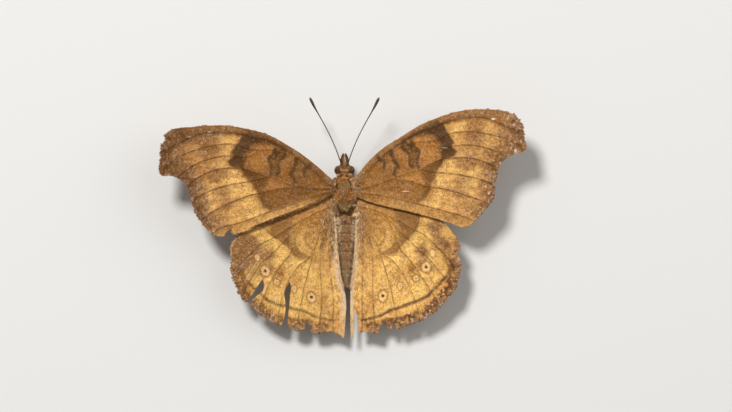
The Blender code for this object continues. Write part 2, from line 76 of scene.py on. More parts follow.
FORE_VEINS = [
    [(2.3, 2.7), (4.7, 5.8), (8.1, 8.7), (11.5, 10.9), (14.5, 12.2), (17.9, 13.4), (20.5, 14.0), (23.0, 14.1),
     (24.7, 13.7), (26.4, 12.9), (28.1, 12.2), (30.0, 11.7)],
    [(8.1, 8.7), (12.0, 9.8), (14.0, 9.9), (15.6, 10.2), (17.9, 11.3), (20.5, 11.6), (22.7, 11.5),
     (25.1, 11.0), (27.3, 10.4), (30.0, 9.2)],
    [(14.0, 9.9), (15.6, 8.9), (17.3, 9.0), (19.3, 9.3), (21.3, 9.3), (23.4, 9.0), (25.6, 8.3), (27.6, 7.3)],
    [(12.5, 5.1), (14.2, 5.9), (15.9, 6.8), (17.6, 7.1), (20.0, 7.2), (22.0, 7.0), (23.9, 6.4), (25.9, 5.5)],
    [(2.3, 1.9), (5.7, 2.7), (9.4, 4.1), (12.5, 5.1), (14.9, 4.8), (17.9, 4.5), (20.5, 4.1), (22.7, 3.6),
     (25.4, 2.6)],
    [(8.1, 3.6), (9.8, 3.4), (11.5, 3.1), (13.7, 2.4), (16.2, 2.0), (18.8, 1.4), (21.3, 0.6), (24.7, -0.7)],
    [(2.3, 1.2), (5.2, 1.0), (7.7, 0.5), (10.3, -0.1), (12.8, -0.7), (15.4, -1.4), (17.9, -2.1), (20.0, -2.7),
     (22.0, -3.5)],
]
HIND_VEINS = [
    [(2.3, -0.9), (5.2, -1.7), (8.6, -3.2), (12.0, -5.1), (13.7, -6.0), (15.6, -7.8), (17.1, -9.4),
     (19.3, -12.2)],
    [(6.3, -2.1), (7.5, -3.3), (9.1, -4.9), (10.8, -6.6), (12.5, -8.3), (14.2, -9.8), (15.7, -11.6),
     (17.3, -13.6), (18.4, -15.4)],
    [(7.5, -3.3), (8.4, -5.9), (9.4, -8.2), (11.1, -10.2), (12.8, -12.6), (14.5, -15.1), (16.2, -17.9)],
    [(2.3, -1.3), (4.0, -4.2), (5.4, -7.3), (6.5, -9.0), (8.1, -10.2), (9.4, -11.7), (10.6, -13.8),
     (11.6, -16.0), (12.3, -18.0), (12.7, -20.3)],
    [(5.4, -7.3), (6.5, -10.5), (7.2, -12.8), (7.9, -15.0), (8.2, -16.7), (8.6, -18.4), (9.2, -21.6)],
    [(4.0, -4.2), (4.7, -9.4), (4.8, -12.8), (4.8, -15.3), (4.9, -17.9), (5.1, -20.1), (5.2, -22.3)],
    [(2.5, -2.2), (2.9, -6.0), (3.1, -10.5), (3.0, -15.3), (3.0, -20.1), (3.0, -22.2)],
]

# Landmarks, right place and left place mirrored
FORE_LANDMARKS = [
    ((2.1, 4.1), (2.0, 3.4)), ((9.4, 10.6), (9.8, 9.4)), ((16.2, 14.1), (16.7, 12.1)),
    ((25.1, 15.4), (26.3, 12.4)), ((29.5, 13.8), (30.5, 10.9)), ((30.8, 9.0), (31.4, 4.9)),
    ((25.9, 5.1), (26.6, 2.2)), ((25.5, 1.5), (25.6, -1.0)), ((23.7, -1.7), (23.7, -4.4)),
    ((20.8, -4.5), (21.5, -6.1)), ((15.4, -3.1), (16.1, -5.1)), ((5.7, -0.7), (4.8, -0.5)),
    ((2.1, 0.3), (1.8, 1.0)), ((18.8, 8.5), (19.5, 6.8)), ((15.6, 4.8), (16.4, 3.2)),
    ((14.4, 2.2), (14.9, 1.0)), ((9.4, 4.1), (9.4, 2.7)), ((12.5, 5.1), (12.5, 3.9)),
]
HIND_LANDMARKS = [
    ((2.1, -0.5), (1.8, -0.5)), ((16.2, -3.2), (17.8, -5.8)), ((19.6, -8.3), (19.4, -9.2)),
    ((19.8, -11.2), (19.3, -11.9)), ((18.6, -15.3), (17.6, -16.3)), ((15.6, -18.7), (14.0, -19.6)),
    ((11.8, -20.9), (10.6, -21.4)), ((8.9, -22.0), (7.9, -22.2)), ((4.0, -22.4), (3.1, -22.4)),
    ((1.3, -23.3), (0.3, -23.3)), ((1.0, -17.0), (-0.25, -17.3)), ((1.5, -12.6), (0.75, -13.1)),
    ((2.0, -7.1), (1.45, -7.1)), ((6.5, -9.0), (6.0, -9.7)), ((14.8, -9.0), (14.6, -9.7)),
    ((13.7, -11.4), (13.3, -12.1)), ((12.1, -13.1), (11.5, -13.8)), ((9.4, -14.5), (8.5, -15.0)),
    ((6.5, -16.4), (5.6, -16.6)),
]

# This specimen's tears and notches, each from margin to margin
WEAR = {
    ("fore", "left"): [
        [(30.6, 11.0), (30.2, 10.1), (31.1, 9.3)],
        [(20.3, -5.7), (19.3, -4.8), (19.0, -5.5), (18.4, -6.0)],
    ],
    ("fore", "right"): [[(25.6, 3.2), (25.1, 2.8), (25.5, 2.2)]],
    ("hind", "left"): [
        [(16.3, -17.4), (16.0, -16.6), (15.0, -15.0), (14.2, -13.8), (13.8, -13.5), (13.6, -14.6),
         (13.9, -15.5), (14.9, -16.3), (15.6, -16.9), (15.8, -17.7)],
        [(10.6, -21.4), (10.2, -20.1), (10.0, -18.4), (10.1, -17.0), (10.3, -16.0), (10.0, -15.0),
         (9.3, -13.9), (9.1, -14.8), (9.3, -17.0), (9.5, -19.0), (9.7, -20.6), (9.6, -21.5)],
        [(6.9, -22.3), (6.6, -21.3), (6.4, -20.2), (6.0, -21.3), (5.8, -22.2)],
    ],
    ("hind", "right"): [
        [(2.4, -22.4), (2.4, -21.2), (2.2, -20.1), (1.8, -18.4), (1.6, -20.1), (1.5, -23.3)],
        [(7.4, -22.0), (7.2, -21.1), (6.9, -20.8), (6.0, -21.4), (5.8, -22.6)],
        [(9.0, -22.1), (8.7, -21.4), (8.5, -20.4), (8.3, -21.5), (8.1, -21.9)],
        [(12.2, -20.8), (11.95, -19.2), (11.75, -20.9)],
        [(19.5, -8.5), (19.0, -8.8), (19.2, -9.4), (19.5, -9.7)],
    ],
}
PLANS = {
    "fore": ([FORE_COSTA, FORE_APEX, FORE_HOLLOW, FORE_REAR], FORE_VEINS, FORE_LANDMARKS),
    "hind": ([HIND_FRONT, HIND_OUTER, HIND_FOLD], HIND_VEINS, HIND_LANDMARKS),
}
for pair, (runs, veins, landmarks) in PLANS.items():
    print(pair, "wing:", len(runs), "runs,", len(veins), "veins,", len(landmarks), "landmarks")


# %% Curves through points, and one plan carried onto another
OUTLINE_STEP = 0.11


def smooth_line(points, step):
    """Points about a step apart on a smooth curve through the given ones, ends included."""
    points = np.array(points, float)
    before, after = 2 * points[0] - points[1], 2 * points[-1] - points[-2]
    padded = np.vstack([before, points, after])
    line = []
    for a, b, c, d in zip(padded, padded[1:], padded[2:], padded[3:]):
        count = max(1, round(np.linalg.norm(c - b) / step))
        for t in np.arange(count) / count:
            line.append(0.5 * (2 * b + (c - a) * t + (2 * a - 5 * b + 4 * c - d) * t**2
                               + (3 * b - a - 3 * c + d) * t**3))
    return np.array([*line, points[-1]])


def plan_carrier(landmarks):
    """A smooth map of the plane, a thin-plate spline, that takes each first place to its second."""
    source, target = (np.array(places, float) for places in zip(*landmarks))

    def kernel(a, b):
        squared = ((a[:, None] - b[None]) ** 2).sum(-1)
        return 0.5 * squared * np.log(np.maximum(squared, 1e-12))

    def flat(points):
        return np.hstack([np.ones((len(points), 1)), points])

    n = len(source)
    system = np.zeros((n + 3, n + 3))
    system[:n, :n], system[:n, n:], system[n:, :n] = kernel(source, source), flat(source), flat(source).T
    weights = np.linalg.solve(system, np.vstack([target, np.zeros((3, 2))]))
    return lambda points: np.hstack([kernel(np.array(points), source), flat(np.array(points))]) @ weights


def wear_away(outline, notch):
    """The outline with the stretch between the notch's ends replaced by the notch."""
    notch = np.array(notch)
    start, end = (int(np.argmin(((outline - place) ** 2).sum(1))) for place in (notch[0], notch[-1]))
    if start > end:
        start, end, notch = end, start, notch[::-1]
    path = np.vstack([smooth_line(pair, OUTLINE_STEP)[:-1] for pair in zip(notch, notch[1:])] + [notch[-1:]])
    return np.vstack([outline[:start], path, outline[end + 1:]])


print("an outline point every", OUTLINE_STEP, "mm")

# %% [markdown]
# ## Measuring in the plan
# The pattern is painted by distance: how far a point is from a vein, from the margin or from the edge of a
# band. These few helpers measure that for all of a wing's points at once, and grain() adds the soft
# unevenness that keeps painted edges from looking drawn with a ruler.


# %% Distances, insides and grain
def gap_to(points, line):
    """Each point's distance to a polyline."""
    line, nearest = np.array(line, float), np.full(len(points), np.inf)
    for a, b in zip(line, line[1:]):
        along = b - a
        t = np.clip(((points - a) @ along) / max(along @ along, 1e-12), 0, 1)
        nearest = np.minimum(nearest, ((points - a - t[:, None] * along) ** 2).sum(1))
    return np.sqrt(nearest)


def inside(points, polygon):
    """True for each point inside a closed polygon."""
    polygon, found = np.array(polygon, float), np.zeros(len(points), bool)
    x, y = points.T
    for (ax, ay), (bx, by) in zip(polygon, np.roll(polygon, -1, 0)):
        if ay != by:
            found ^= ((ay > y) != (by > y)) & (x < (bx - ax) * (y - ay) / (by - ay) + ax)
    return found


def depth_in(points, polygon):
    """Distance to a polygon's edge, positive inside it."""
    closed = [*polygon, polygon[0]]
    return gap_to(points, closed) * np.where(inside(points, polygon), 1, -1)


def ramp(value, low, high):
    """0 below low, 1 above high, and a smooth step between."""
    t = np.clip((value - low) / (high - low), 0, 1)
    return t * t * (3 - 2 * t)


def grain(points, size, seed):
    """Smooth random values from 0 to 1 over the plan, uneven over a distance of about size."""
    table = np.random.default_rng(seed).permutation(1024)
    cell = np.array(points) / size
    corner = np.floor(cell).astype(int)
    t = cell - corner
    t = t * t * (3 - 2 * t)

    def pick(i, j):
        return table[(table[(corner[:, 0] + i) % 1024] + corner[:, 1] + j) % 1024] / 1023

    low = pick(0, 0) * (1 - t[:, 0]) + pick(1, 0) * t[:, 0]
    high = pick(0, 1) * (1 - t[:, 0]) + pick(1, 1) * t[:, 0]
    return low * (1 - t[:, 1]) + high * t[:, 1]


def mottle(points, size, seed):
    """Grain at two scales, turned against each other so that no rows show."""
    turned = np.column_stack([points @ (0.8, 0.6), points @ (-0.6, 0.8)])
    both = 0.6 * grain(turned, size, seed) + 0.4 * grain(points + 7.3, size / 2.3, seed + 50)
    return np.clip(0.5 + 1.7 * (both - 0.5), 0, 1)


def blobs(points, spots):
    """Soft ovals added up: each is (x, y, half width, half height, strength)."""
    total = np.zeros(len(points))
    for x, y, wide, high, strength in spots:
        total += strength * np.exp(-((points[:, 0] - x) / wide) ** 2 - ((points[:, 1] - y) / high) ** 2)
    return total


print("grain of 0.5 mm at three points:", grain(np.array([(0.0, 0), (1, 1), (2, 0.4)]), 0.5, 1).round(2))

# %% [markdown]
# ## The sheet's height
# Seen from the front, the wings rise a little towards their tips, and from the side they droop gently behind
# and in front of a line near the leading edge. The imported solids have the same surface, so the thin sheets
# made here run down the middle of them, the forewings lying over the hindwings.

# %% The shared surface
SHEET_HEIGHT = 6.0
DIHEDRAL = math.radians(7.0)
ARCH_SLOPE, ARCH_RADIUS = 0.07, 8.0
ARCH_AXIS_START, ARCH_AXIS_SWEEP = 2.0, 0.3
LIFT = {"fore": 0.62, "hind": -0.53}
WING_THICKNESS = 0.11
VEIN_HEIGHT, VEIN_HALF_WIDTH = 0.10, 0.13
PLEAT_DEPTH, PLEAT_REACH = 0.13, 1.0
REAR_DROOP = 0.20


def sheet_height(x, y, lift):
    """Height of a wing's middle surface at a distance x from the midline."""
    behind = y - (ARCH_AXIS_START + ARCH_AXIS_SWEEP * x)
    arch = ARCH_SLOPE * (np.sqrt(behind**2 + ARCH_RADIUS**2) - ARCH_RADIUS)
    return SHEET_HEIGHT + lift + math.tan(DIHEDRAL) * x - arch


print("forewing tip stands", round(float(sheet_height(30.8, 9.0, LIFT["fore"])), 2), "mm up")

# %% [markdown]
# ## Where the pattern lies
# A brown band crosses the forewing, crisp on its outer side and soft on its inner one, with five dark loops
# nearer the root and an orange patch between them. The hindwing has a long dark line down its middle, a row
# of eyespots and a wavy line before the margin. Each is a short list of places in the same plan, and clouds
# and glows are soft ovals. Curves and ovals keep the pattern free of any picture, and it can be recoloured.

# %% The forewing's band, loops, patches and clouds
BAND_OUTER = [(16.6, 12.9), (17.1, 11.9), (17.6, 11.1), (18.1, 10.2), (18.4, 9.7), (18.1, 9.0), (18.4, 8.7),
              (18.9, 8.2), (18.6, 7.7), (17.9, 7.2), (17.1, 7.1), (16.6, 6.6), (16.3, 6.0), (15.8, 5.3),
              (15.3, 4.4), (15.1, 3.4), (14.6, 2.6), (14.4, 1.9), (14.1, 1.0), (13.7, 0.3), (12.8, -0.2),
              (12.2, -0.5)]
BAND_INNER = [(11.8, -0.3), (12.7, 0.3), (13.3, 1.4), (13.5, 2.7), (13.3, 4.1), (13.6, 5.3), (14.5, 5.9),
              (15.6, 6.5), (16.2, 7.1), (16.3, 8.3), (16.1, 9.2), (15.7, 10.0), (14.7, 10.7), (13.5, 11.2),
              (12.3, 10.8), (11.3, 10.4), (10.1, 9.9), (11.5, 11.2), (13.7, 12.4), (15.6, 13.4)]
CELL_LOOPS = [
    [(11.3, 10.0), (11.6, 9.4), (12.1, 8.7), (12.5, 8.2), (12.5, 7.5), (12.2, 6.8), (12.3, 6.0), (12.5, 5.4)],
    [(10.1, 9.7), (10.8, 9.4), (11.3, 9.0), (11.6, 8.3)],
    [(9.9, 9.9), (9.7, 9.0), (10.3, 8.3), (10.8, 7.7), (11.1, 6.8), (11.1, 6.0), (11.3, 5.4)],
    [(7.8, 8.2), (7.9, 7.3), (8.2, 6.6), (8.8, 6.1), (8.9, 5.6), (8.4, 4.9), (8.6, 4.2)],
    [(5.7, 7.2), (6.0, 6.7), (6.6, 6.5), (6.7, 6.0), (6.5, 5.4)],
]
ORANGE_PATCHES = [
    ([(11.5, 10.0), (12.5, 10.7), (13.5, 10.7), (14.7, 10.4), (15.6, 9.7), (15.9, 8.8), (15.9, 7.7),
      (15.2, 6.8), (14.0, 6.1), (12.8, 5.8), (12.7, 6.8), (12.7, 8.2), (12.0, 9.2)], 1.0),
    ([(7.9, 8.8), (8.9, 9.1), (9.6, 8.5), (9.4, 7.8), (8.4, 8.0)], 0.9),
    ([(9.8, 7.7), (10.6, 7.1), (11.0, 6.1), (10.3, 5.4), (9.3, 5.8), (9.3, 6.8)], 0.6),
    ([(9.4, 4.6), (11.5, 5.1), (13.0, 5.1), (13.0, 3.7), (13.2, 2.7), (11.1, 3.1), (9.8, 3.6)], 0.8),
]
FORE_FIELD = [*BAND_OUTER, (15.4, -2.4), (20.4, -3.4), (22.6, -1.8), (23.9, 0.4), (24.6, 2.6), (24.9, 5.4),
              (26.2, 8.0), (28.6, 9.8), (28.8, 12.0), (26.2, 13.4), (22.0, 14.0), (18.0, 13.4)]
FORE_CLOUDS = [(22.0, 12.2, 1.36, 1.70, 0.6), (22.0, 10.2, 1.53, 0.80, 0.55), (21.2, 6.2, 1.50, 1.30, 0.75),
               (20.0, 3.2, 1.02, 0.95, 0.6), (19.3, 1.0, 1.02, 0.95, 0.6), (21.7, -1.4, 2.38, 1.53, 0.25),
               (24.1, 5.4, 0.85, 0.85, 0.8), (23.9, 3.1, 1.02, 1.19, 0.75), (23.7, 1.2, 0.85, 1.02, 0.7),
               (24.7, 7.7, 1.02, 0.85, 0.55), (26.4, 8.5, 1.19, 0.85, 0.5), (27.3, 11.6, 1.53, 2.38, 0.7),
               (22.6, 9.4, 3.20, 3.60, 0.3)]
FORE_GLOWS = [(18.8, 12.2, 1.53, 1.36, 0.6), (25.2, 12.4, 0.68, 0.68, 0.5), (19.3, 9.7, 1.02, 1.02, 0.4),
              (23.4, 8.3, 1.36, 0.85, 0.5), (17.9, 5.4, 1.53, 1.36, 0.5), (22.0, 4.9, 1.53, 1.02, 0.6),
              (16.7, 3.1, 1.36, 1.36, 0.8), (21.3, 2.7, 1.36, 0.85, 0.7), (21.8, 1.4, 0.85, 0.51, 0.6),
              (16.2, 0.0, 1.70, 1.02, 0.9), (15.6, -1.3, 1.60, 0.80, 0.7)]
FORE_BLOTCHES = [(24.6, 6.1, 0.9, 0.5, 1.0), (24.0, 4.3, 0.8, 0.7, 1.0), (23.5, 2.3, 0.7, 0.6, 0.9),
                 (24.8, 1.9, 0.4, 1.6, 1.0), (25.9, 7.2, 1.2, 0.8, 0.9), (29.2, 11.5, 0.8, 2.0, 0.9),
                 (28.0, 13.4, 1.2, 0.5, 0.6), (27.0, 9.6, 1.0, 0.5, 0.5), (20.9, 12.7, 0.6, 0.6, 0.5),
                 (19.6, 6.3, 0.5, 0.7, 0.5), (19.2, 4.1, 0.35, 1.0, 0.5), (20.5, -1.0, 1.2, 0.5, 0.4)]
COSTA_STRIPE = [(18.8, 15.0), (22.0, 15.05), (25.0, 14.9), (26.6, 14.5)]
print("forewing: a band of", len(BAND_OUTER) + len(BAND_INNER), "places,", len(CELL_LOOPS), "loops and",
      len(FORE_CLOUDS), "clouds")


# %% The hindwing's lines, eyespots and clouds
HIND_MEDIAL = [(13.0, -2.2), (12.6, -3.1), (12.5, -3.9), (12.1, -4.9), (11.5, -5.8), (10.8, -6.5),
               (10.0, -7.1), (9.4, -8.0), (8.8, -8.7), (7.9, -9.2), (7.2, -9.5), (6.4, -9.9), (5.7, -10.7),
               (5.0, -11.9), (4.5, -13.6), (4.2, -15.6), (3.8, -17.9), (3.3, -20.4)]
TAUPE_PATCH = [(8.4, -1.4), (10.3, -1.9), (13.0, -2.3), (12.5, -3.9), (12.1, -4.9), (11.5, -5.8),
               (10.8, -6.5), (10.0, -7.1), (9.4, -8.0), (8.8, -8.7), (7.9, -9.2), (7.4, -8.9), (8.4, -7.9),
               (9.2, -6.9), (9.8, -5.8), (9.4, -4.6), (8.8, -3.1)]
SUBMARGIN = [(17.8, -7.3), (17.3, -8.3), (17.6, -9.5), (17.4, -10.7), (17.8, -11.6), (17.3, -12.8),
             (16.4, -13.8), (15.7, -14.6), (14.9, -15.3), (14.0, -16.2), (13.0, -16.8), (11.8, -17.3),
             (10.6, -17.7), (9.4, -18.2), (8.2, -18.5), (7.1, -19.0), (5.9, -19.6), (4.3, -20.1),
             (3.0, -20.4)]
MARGIN_BAND = [(18.3, -10.5), (18.1, -12.2), (17.6, -14.3), (16.7, -15.6), (15.7, -17.0), (14.5, -18.2),
               (13.0, -19.2), (11.1, -19.7), (9.1, -20.2), (4.3, -21.2)]
# The first two clouds, at the front outer corner by the forewing's rear edge, are partly painted shadow
HIND_CLOUDS_AND_SHADE = [(15.5, -4.9, 1.05, 1.20, 0.95), (16.2, -3.6, 1.40, 0.90, 0.70),
               (12.9, -8.2, 0.75, 0.95, 0.55), (14.5, -4.3, 0.85, 1.00, 0.55),
               (15.9, -7.0, 1.30, 1.10, 0.70), (13.5, -8.9, 0.75, 1.00, 0.80),
               (12.7, -11.0, 0.60, 0.90, 0.65), (15.3, -11.6, 1.00, 0.70, 0.45),
               (17.3, -7.8, 0.70, 0.70, 0.85), (17.2, -9.3, 1.00, 1.30, 0.50),
               (16.2, -7.5, 1.70, 2.04, 0.25), (11.4, -12.4, 0.50, 0.80, 0.40)]
HIND_EMBERS = [(11.6, -11.2, 1.36, 0.85, 0.4), (10.3, -12.2, 1.70, 1.02, 0.4), (9.1, -13.1, 1.02, 1.36, 0.45),
               (6.9, -14.5, 1.53, 1.02, 0.35), (12.0, -11.6, 1.02, 0.68, 0.3), (4.7, -17.0, 1.02, 2.04, 0.3),
               (3.7, -10.5, 1.36, 3.74, 0.20)]
# Each eyespot is (x, y, half width, half height, radius of its pupil)
EYESPOTS = [(14.9, -9.0, 0.44, 0.61, 0.0), (13.8, -11.3, 0.77, 0.88, 0.20), (12.1, -13.2, 0.51, 0.54, 0.04),
            (9.4, -14.5, 0.44, 0.61, 0.04), (6.5, -16.2, 0.71, 0.92, 0.22)]
HIND_ARCS = [[(6.7, -4.9), (6.8, -6.4), (5.9, -7.6)], [(8.6, -4.4), (8.7, -6.2), (8.0, -8.0), (6.2, -9.1)]]
LEFT_LIGHTS = [(12.3, -2.6, 0.9, 1.3, 0.9), (13.6, -3.6, 1.0, 1.0, 0.5)]
LEFT_CLOUDS = [(17.6, -6.6, 2.4, 2.8, 0.6), (17.6, -10.6, 1.9, 3.0, 0.5), (15.2, -9.4, 1.2, 1.4, 0.35),
               (16.2, -4.6, 1.5, 1.5, 0.8), (15.0, -6.1, 1.4, 1.6, 0.9), (14.4, -7.7, 0.9, 1.6, 0.6)]
# Where the left wings' pattern lies a little further in: place, reach and the way along the right plan
LEFT_SHIFTS = {"fore": (15.4, 1.6, 3.0, 4.0, (0.55, 0.0)), "hind": (11.0, -5.0, 3.2, 4.0, (0.7, -0.45))}
HIND_STREAKS = [(3.6, -3.9, 0.9, 2.4, 0.8), (4.3, -7.0, 0.7, 1.6, 0.6), (9.6, -6.2, 1.0, 1.3, 0.5),
                (7.0, -5.0, 1.5, 2.5, 0.35), (5.9, -8.6, 1.2, 0.9, 0.5)]
print("hindwing:", len(EYESPOTS), "eyespots,", len(HIND_CLOUDS_AND_SHADE), "clouds; left:", len(LEFT_CLOUDS), "more")


# %% White flecks and the scratches of wear
# Each fleck is (x, y, half width, half height)
FLECKS = {
    ("fore", "right"): [(25.1, 13.7, 0.30, 0.14), (25.9, 10.5, 0.16, 0.10), (10.3, 1.5, 0.6, 0.05),
                        (16.9, 8.8, 0.4, 0.05), (24.4, 1.2, 0.12, 0.22), (24.9, -0.3, 0.12, 0.2),
                        (23.8, 2.3, 0.10, 0.10), (28.9, 8.4, 0.2, 0.12)],
    ("fore", "left"): [(25.1, 13.6, 0.26, 0.13)],
    ("hind", "right"): [(14.5, -18.7, 0.10, 0.10), (11.0, -19.2, 0.12, 0.10)],
    ("hind", "left"): [(14.9, -9.9, 0.08, 0.08)],
}
SCRATCHES = {("hind", "left"): [
    [(18.2, -10.7), (16.1, -8.6)], [(18.7, -11.6), (17.4, -10.1)], [(16.6, -11.6), (14.9, -9.6)],
    [(13.7, -18.1), (14.0, -19.8)], [(13.2, -18.0), (13.6, -19.4)], [(12.3, -14.8), (12.8, -16.8)],
    [(12.9, -15.4), (13.1, -16.4)], [(17.6, -13.2), (16.7, -11.9)],
    [(16.8, -4.1), (17.75, -5.05), (18.9, -6.7), (19.35, -8.3)],
]}
print("flecks:", sum(len(marks) for marks in FLECKS.values()), "scratches:", len(SCRATCHES["hind", "left"]))

# %% [markdown]
# ## From places to tints
# A tint, such as dark or pale, is a number from 0 to 1 at each point of a wing, worked out from how far the
# point lies from the pattern's lines and ovals. It could be painted into a picture instead, but functions
# stay as sharp as the scales that read them, and moving one place moves its whole mark. The brushes come
# first: a soft line, streaks from the wing's root, patches of mottling and a small wobble for the edges.
# Their numbers are distances in millimetres, strengths from 0 to 1, and a seed for each kind of grain.

# %% Brushes for the pattern
WING_ROOTS = {"fore": np.array((1.0, 2.0)), "hind": np.array((1.4, -0.4))}
VEINS = {pair: [smooth_line(vein, 0.6) for vein in PLANS[pair][1]] for pair in PLANS}


def line_on(points, line, half_width, soft):
    """1 on a line of some width, falling to 0 over a soft edge."""
    return 1 - ramp(gap_to(points, line), half_width, half_width + soft)


def vein_gap(points, pair):
    """Each point's distance to the nearest vein."""
    return np.min([gap_to(points, vein) for vein in VEINS[pair]], axis=0)


def rays(points, pair, fineness, seed):
    """Uneven streaks that run out from a wing's root, from 0 to 1."""
    x, y = (points - WING_ROOTS[pair]).T
    return grain(np.column_stack([np.arctan2(y, x) * fineness, np.hypot(x, y) * 0.35]), 1.0, seed)


def patches(points, size, seed, low, high):
    """1 where mottled noise is above high and 0 where it is below low."""
    return ramp(mottle(points, size, seed), low, high)


def wobble_at(points, seed):
    """A small uneven shift, so that no edge looks drawn with a ruler."""
    return 0.5 * (grain(points, 0.5, seed) - 0.5) + 0.25 * (grain(points, 0.2, seed + 1) - 0.5)


print("the veins' lines have", sum(len(vein) for veins in VEINS.values() for vein in veins), "points")


# %% Tints of the forewing
def rear_strip(points, rear):
    """The lighter strip along the forewing's rear edge: rear is the distance to that edge."""
    return (1 - ramp(rear, 1.2, 1.9)) * ramp(points[:, 0], 4.0, 9.0)


def rear_edge_and_shadow(points, rear, half_width, end):
    """The dark line on that edge, partly dark scales and partly painted shadow of the gap between the wings;
    it fades beyond x = end.
    """
    x = points[:, 0]
    across = 1 - ramp(rear, half_width, half_width + 0.14)
    return across * ramp(x, 4.0, 6.0) * (1 - ramp(x, end, end + 2.5))


def forewing_dark(points, wobble):
    """Dark marks, the strongest at each place: band, loops, mottling, the front rail and the rear line,
    which is partly painted shadow.
    """
    x, y = points.T
    band = depth_in(points, [*BAND_OUTER, *BAND_INNER]) + 0.5 * wobble
    softness = np.where(gap_to(points, BAND_OUTER) < gap_to(points, BAND_INNER), 0.12, 0.60)
    marks = [(0.42 + 0.43 * ramp(y, 3.0, 8.5)) * ramp(band, -softness, softness)]
    half_width = 0.02 + 0.28 * mottle(points, 0.7, 8)
    for loop in CELL_LOOPS:
        line = smooth_line(loop, 0.3)
        bent = line + 0.25 * (grain(line, 0.5, 7) - 0.5)[:, None]
        marks.append(0.78 * line_on(points, bent, half_width, 0.30))
    between_loops = depth_in(points, [*CELL_LOOPS[0], *CELL_LOOPS[2][::-1]])
    marks.append((0.30 + 0.3 * mottle(points, 0.6, 10)) * ramp(between_loops, -0.1, 0.3))
    marks.append(0.16 * patches(points, 0.45, 11, 0.45, 0.8) * (1 - ramp(x, 9.0, 14.0)))
    marks.append(0.22 * blobs(points, [(7.0, 4.8, 2.2, 1.7, 1.0)]))
    rail = np.exp(-(gap_to(points, smooth_line(FORE_VEINS[0], 0.8)) / 0.36) ** 2)
    along_rail = 0.5 + 0.4 * ramp(x, 8.0, 12.0) - 0.55 * ramp(x, 16.0, 19.0)
    marks.append(rail * along_rail * ramp(x, 3.0, 6.0))
    # The rear edge's dark line, partly painted shadow of the gap between forewing and hindwing
    marks.append(0.95 * rear_edge_and_shadow(points, gap_to(points, smooth_line(FORE_REAR, 0.4)), 0.08, 13.0))
    return np.max(marks, axis=0)


def forewing_orange(points, wobble, field, strip):
    """The orange patches between the loops, the stripe on the costa and a warm mottling of the pale field."""
    orange = 0.8 * line_on(points, COSTA_STRIPE, 0.12, 0.2)
    for patch, strength in ORANGE_PATCHES:
        orange = orange + 0.85 * strength * ramp(depth_in(points, patch) + wobble, -0.2, 0.35)
    return orange * (1 - field) + 0.25 * strip + 0.35 * field * patches(points, 1.1, 38, 0.5, 0.9)


def forewing_tints(points, rim, veins):
    """The forewing's tints at places in the right wing's plan: rim and veins are distances."""
    x, y = points.T
    wobble = wobble_at(points, 3)
    strip = rear_strip(points, gap_to(points, smooth_line(FORE_REAR, 0.8)) + 0.3 * wobble)
    field = np.maximum(ramp(depth_in(points, FORE_FIELD) + wobble, -0.2, 0.9), 0.75 * strip)
    clouds = blobs(points, FORE_CLOUDS)
    pale = field * (0.45 + 1.1 * blobs(points, FORE_GLOWS) - 1.15 * clouds
                    + 0.5 * (rays(points, "fore", 30.0, 21) - 0.5) + 0.7 * (mottle(points, 1.0, 14) - 0.4))
    leading = gap_to(points, smooth_line(FORE_COSTA, 0.8)) + 0.2 * wobble
    costa = (1 - ramp(leading, 0.8, 1.5)) * (0.9 - 0.25 * ramp(x, 16.0, 22.0))
    broken = patches(points, 0.5, 26, 0.3, 0.7)
    maroon = 0.75 * broken * blobs(points, FORE_BLOTCHES) + 0.32 * patches(points, 0.6, 29, 0.55, 0.85)
    hem = (1 - ramp(rim + 1.5 * wobble, 0.3, 2.0)) * ramp(x, 17.0, 22.0) * (1 - 0.5 * ramp(y, 10, 14))
    hem = hem * (0.2 + 0.8 * ramp(y, -3.4, -1.4)) + 0.7 * ramp(x, 25.5, 28.5) * ramp(y, 7.0, 9.5)
    hem_dark = 0.45 * np.clip(hem, 0, 1) * patches(points, 0.5, 13, 0.45, 0.8)
    vein = np.exp(-(veins / 0.10) ** 2) * (0.25 + 0.35 * field) * (0.7 + 0.6 * mottle(points, 0.8, 19))
    return {"field": field, "pale": pale, "dark": np.maximum(forewing_dark(points, wobble), hem_dark),
            "costa": costa, "orange": forewing_orange(points, wobble, field, strip), "hem": hem,
            "taupe": clouds * (0.6 + 0.8 * broken) * field, "maroon": maroon, "vein": vein}


in_band = forewing_tints(np.array([(14.0, 5.0)]), np.array([9.0]), np.array([1.0]))
print("in the forewing's band:", {tint: round(float(value[0]), 2) for tint, value in in_band.items()})


# %% Tints of the hindwing
BEYOND_MEDIAL = [(8.0, -26.0), (30.0, -20.0), (24.0, -2.0)]
HIND_GLOWS = [(7.6, -6.4, 2.2, 2.2, 1.0), (4.4, -8.2, 2.2, 1.8, 0.9)]


def hindwing_dark(points, field, low, streaks):
    """Dark marks of the inner half: the middle line, its streaks, arcs and mottling."""
    marks = [0.35 * (1 - low) * line_on(points, smooth_line(HIND_MEDIAL, 0.4), 0.05, 0.3),
             0.55 * streaks * blobs(points, HIND_STREAKS) * (1 - 0.6 * field),
             0.25 * patches(points, 0.35, 37, 0.55, 0.9) * (1 - ramp(-points[:, 1], 8.0, 12.0))]
    marks += [0.40 * line_on(points, smooth_line(arc, 0.3), 0.06, 0.3) * (1 - field) for arc in HIND_ARCS]
    return np.max(marks, axis=0)


def wavy_line(points):
    """The wavy line before the margin, uneven in width."""
    half_width = 0.05 + 0.15 * mottle(points, 0.5, 18)
    return line_on(points, smooth_line(SUBMARGIN, 0.3), half_width, 0.28) * ramp(-points[:, 1], 9.0, 12.5)


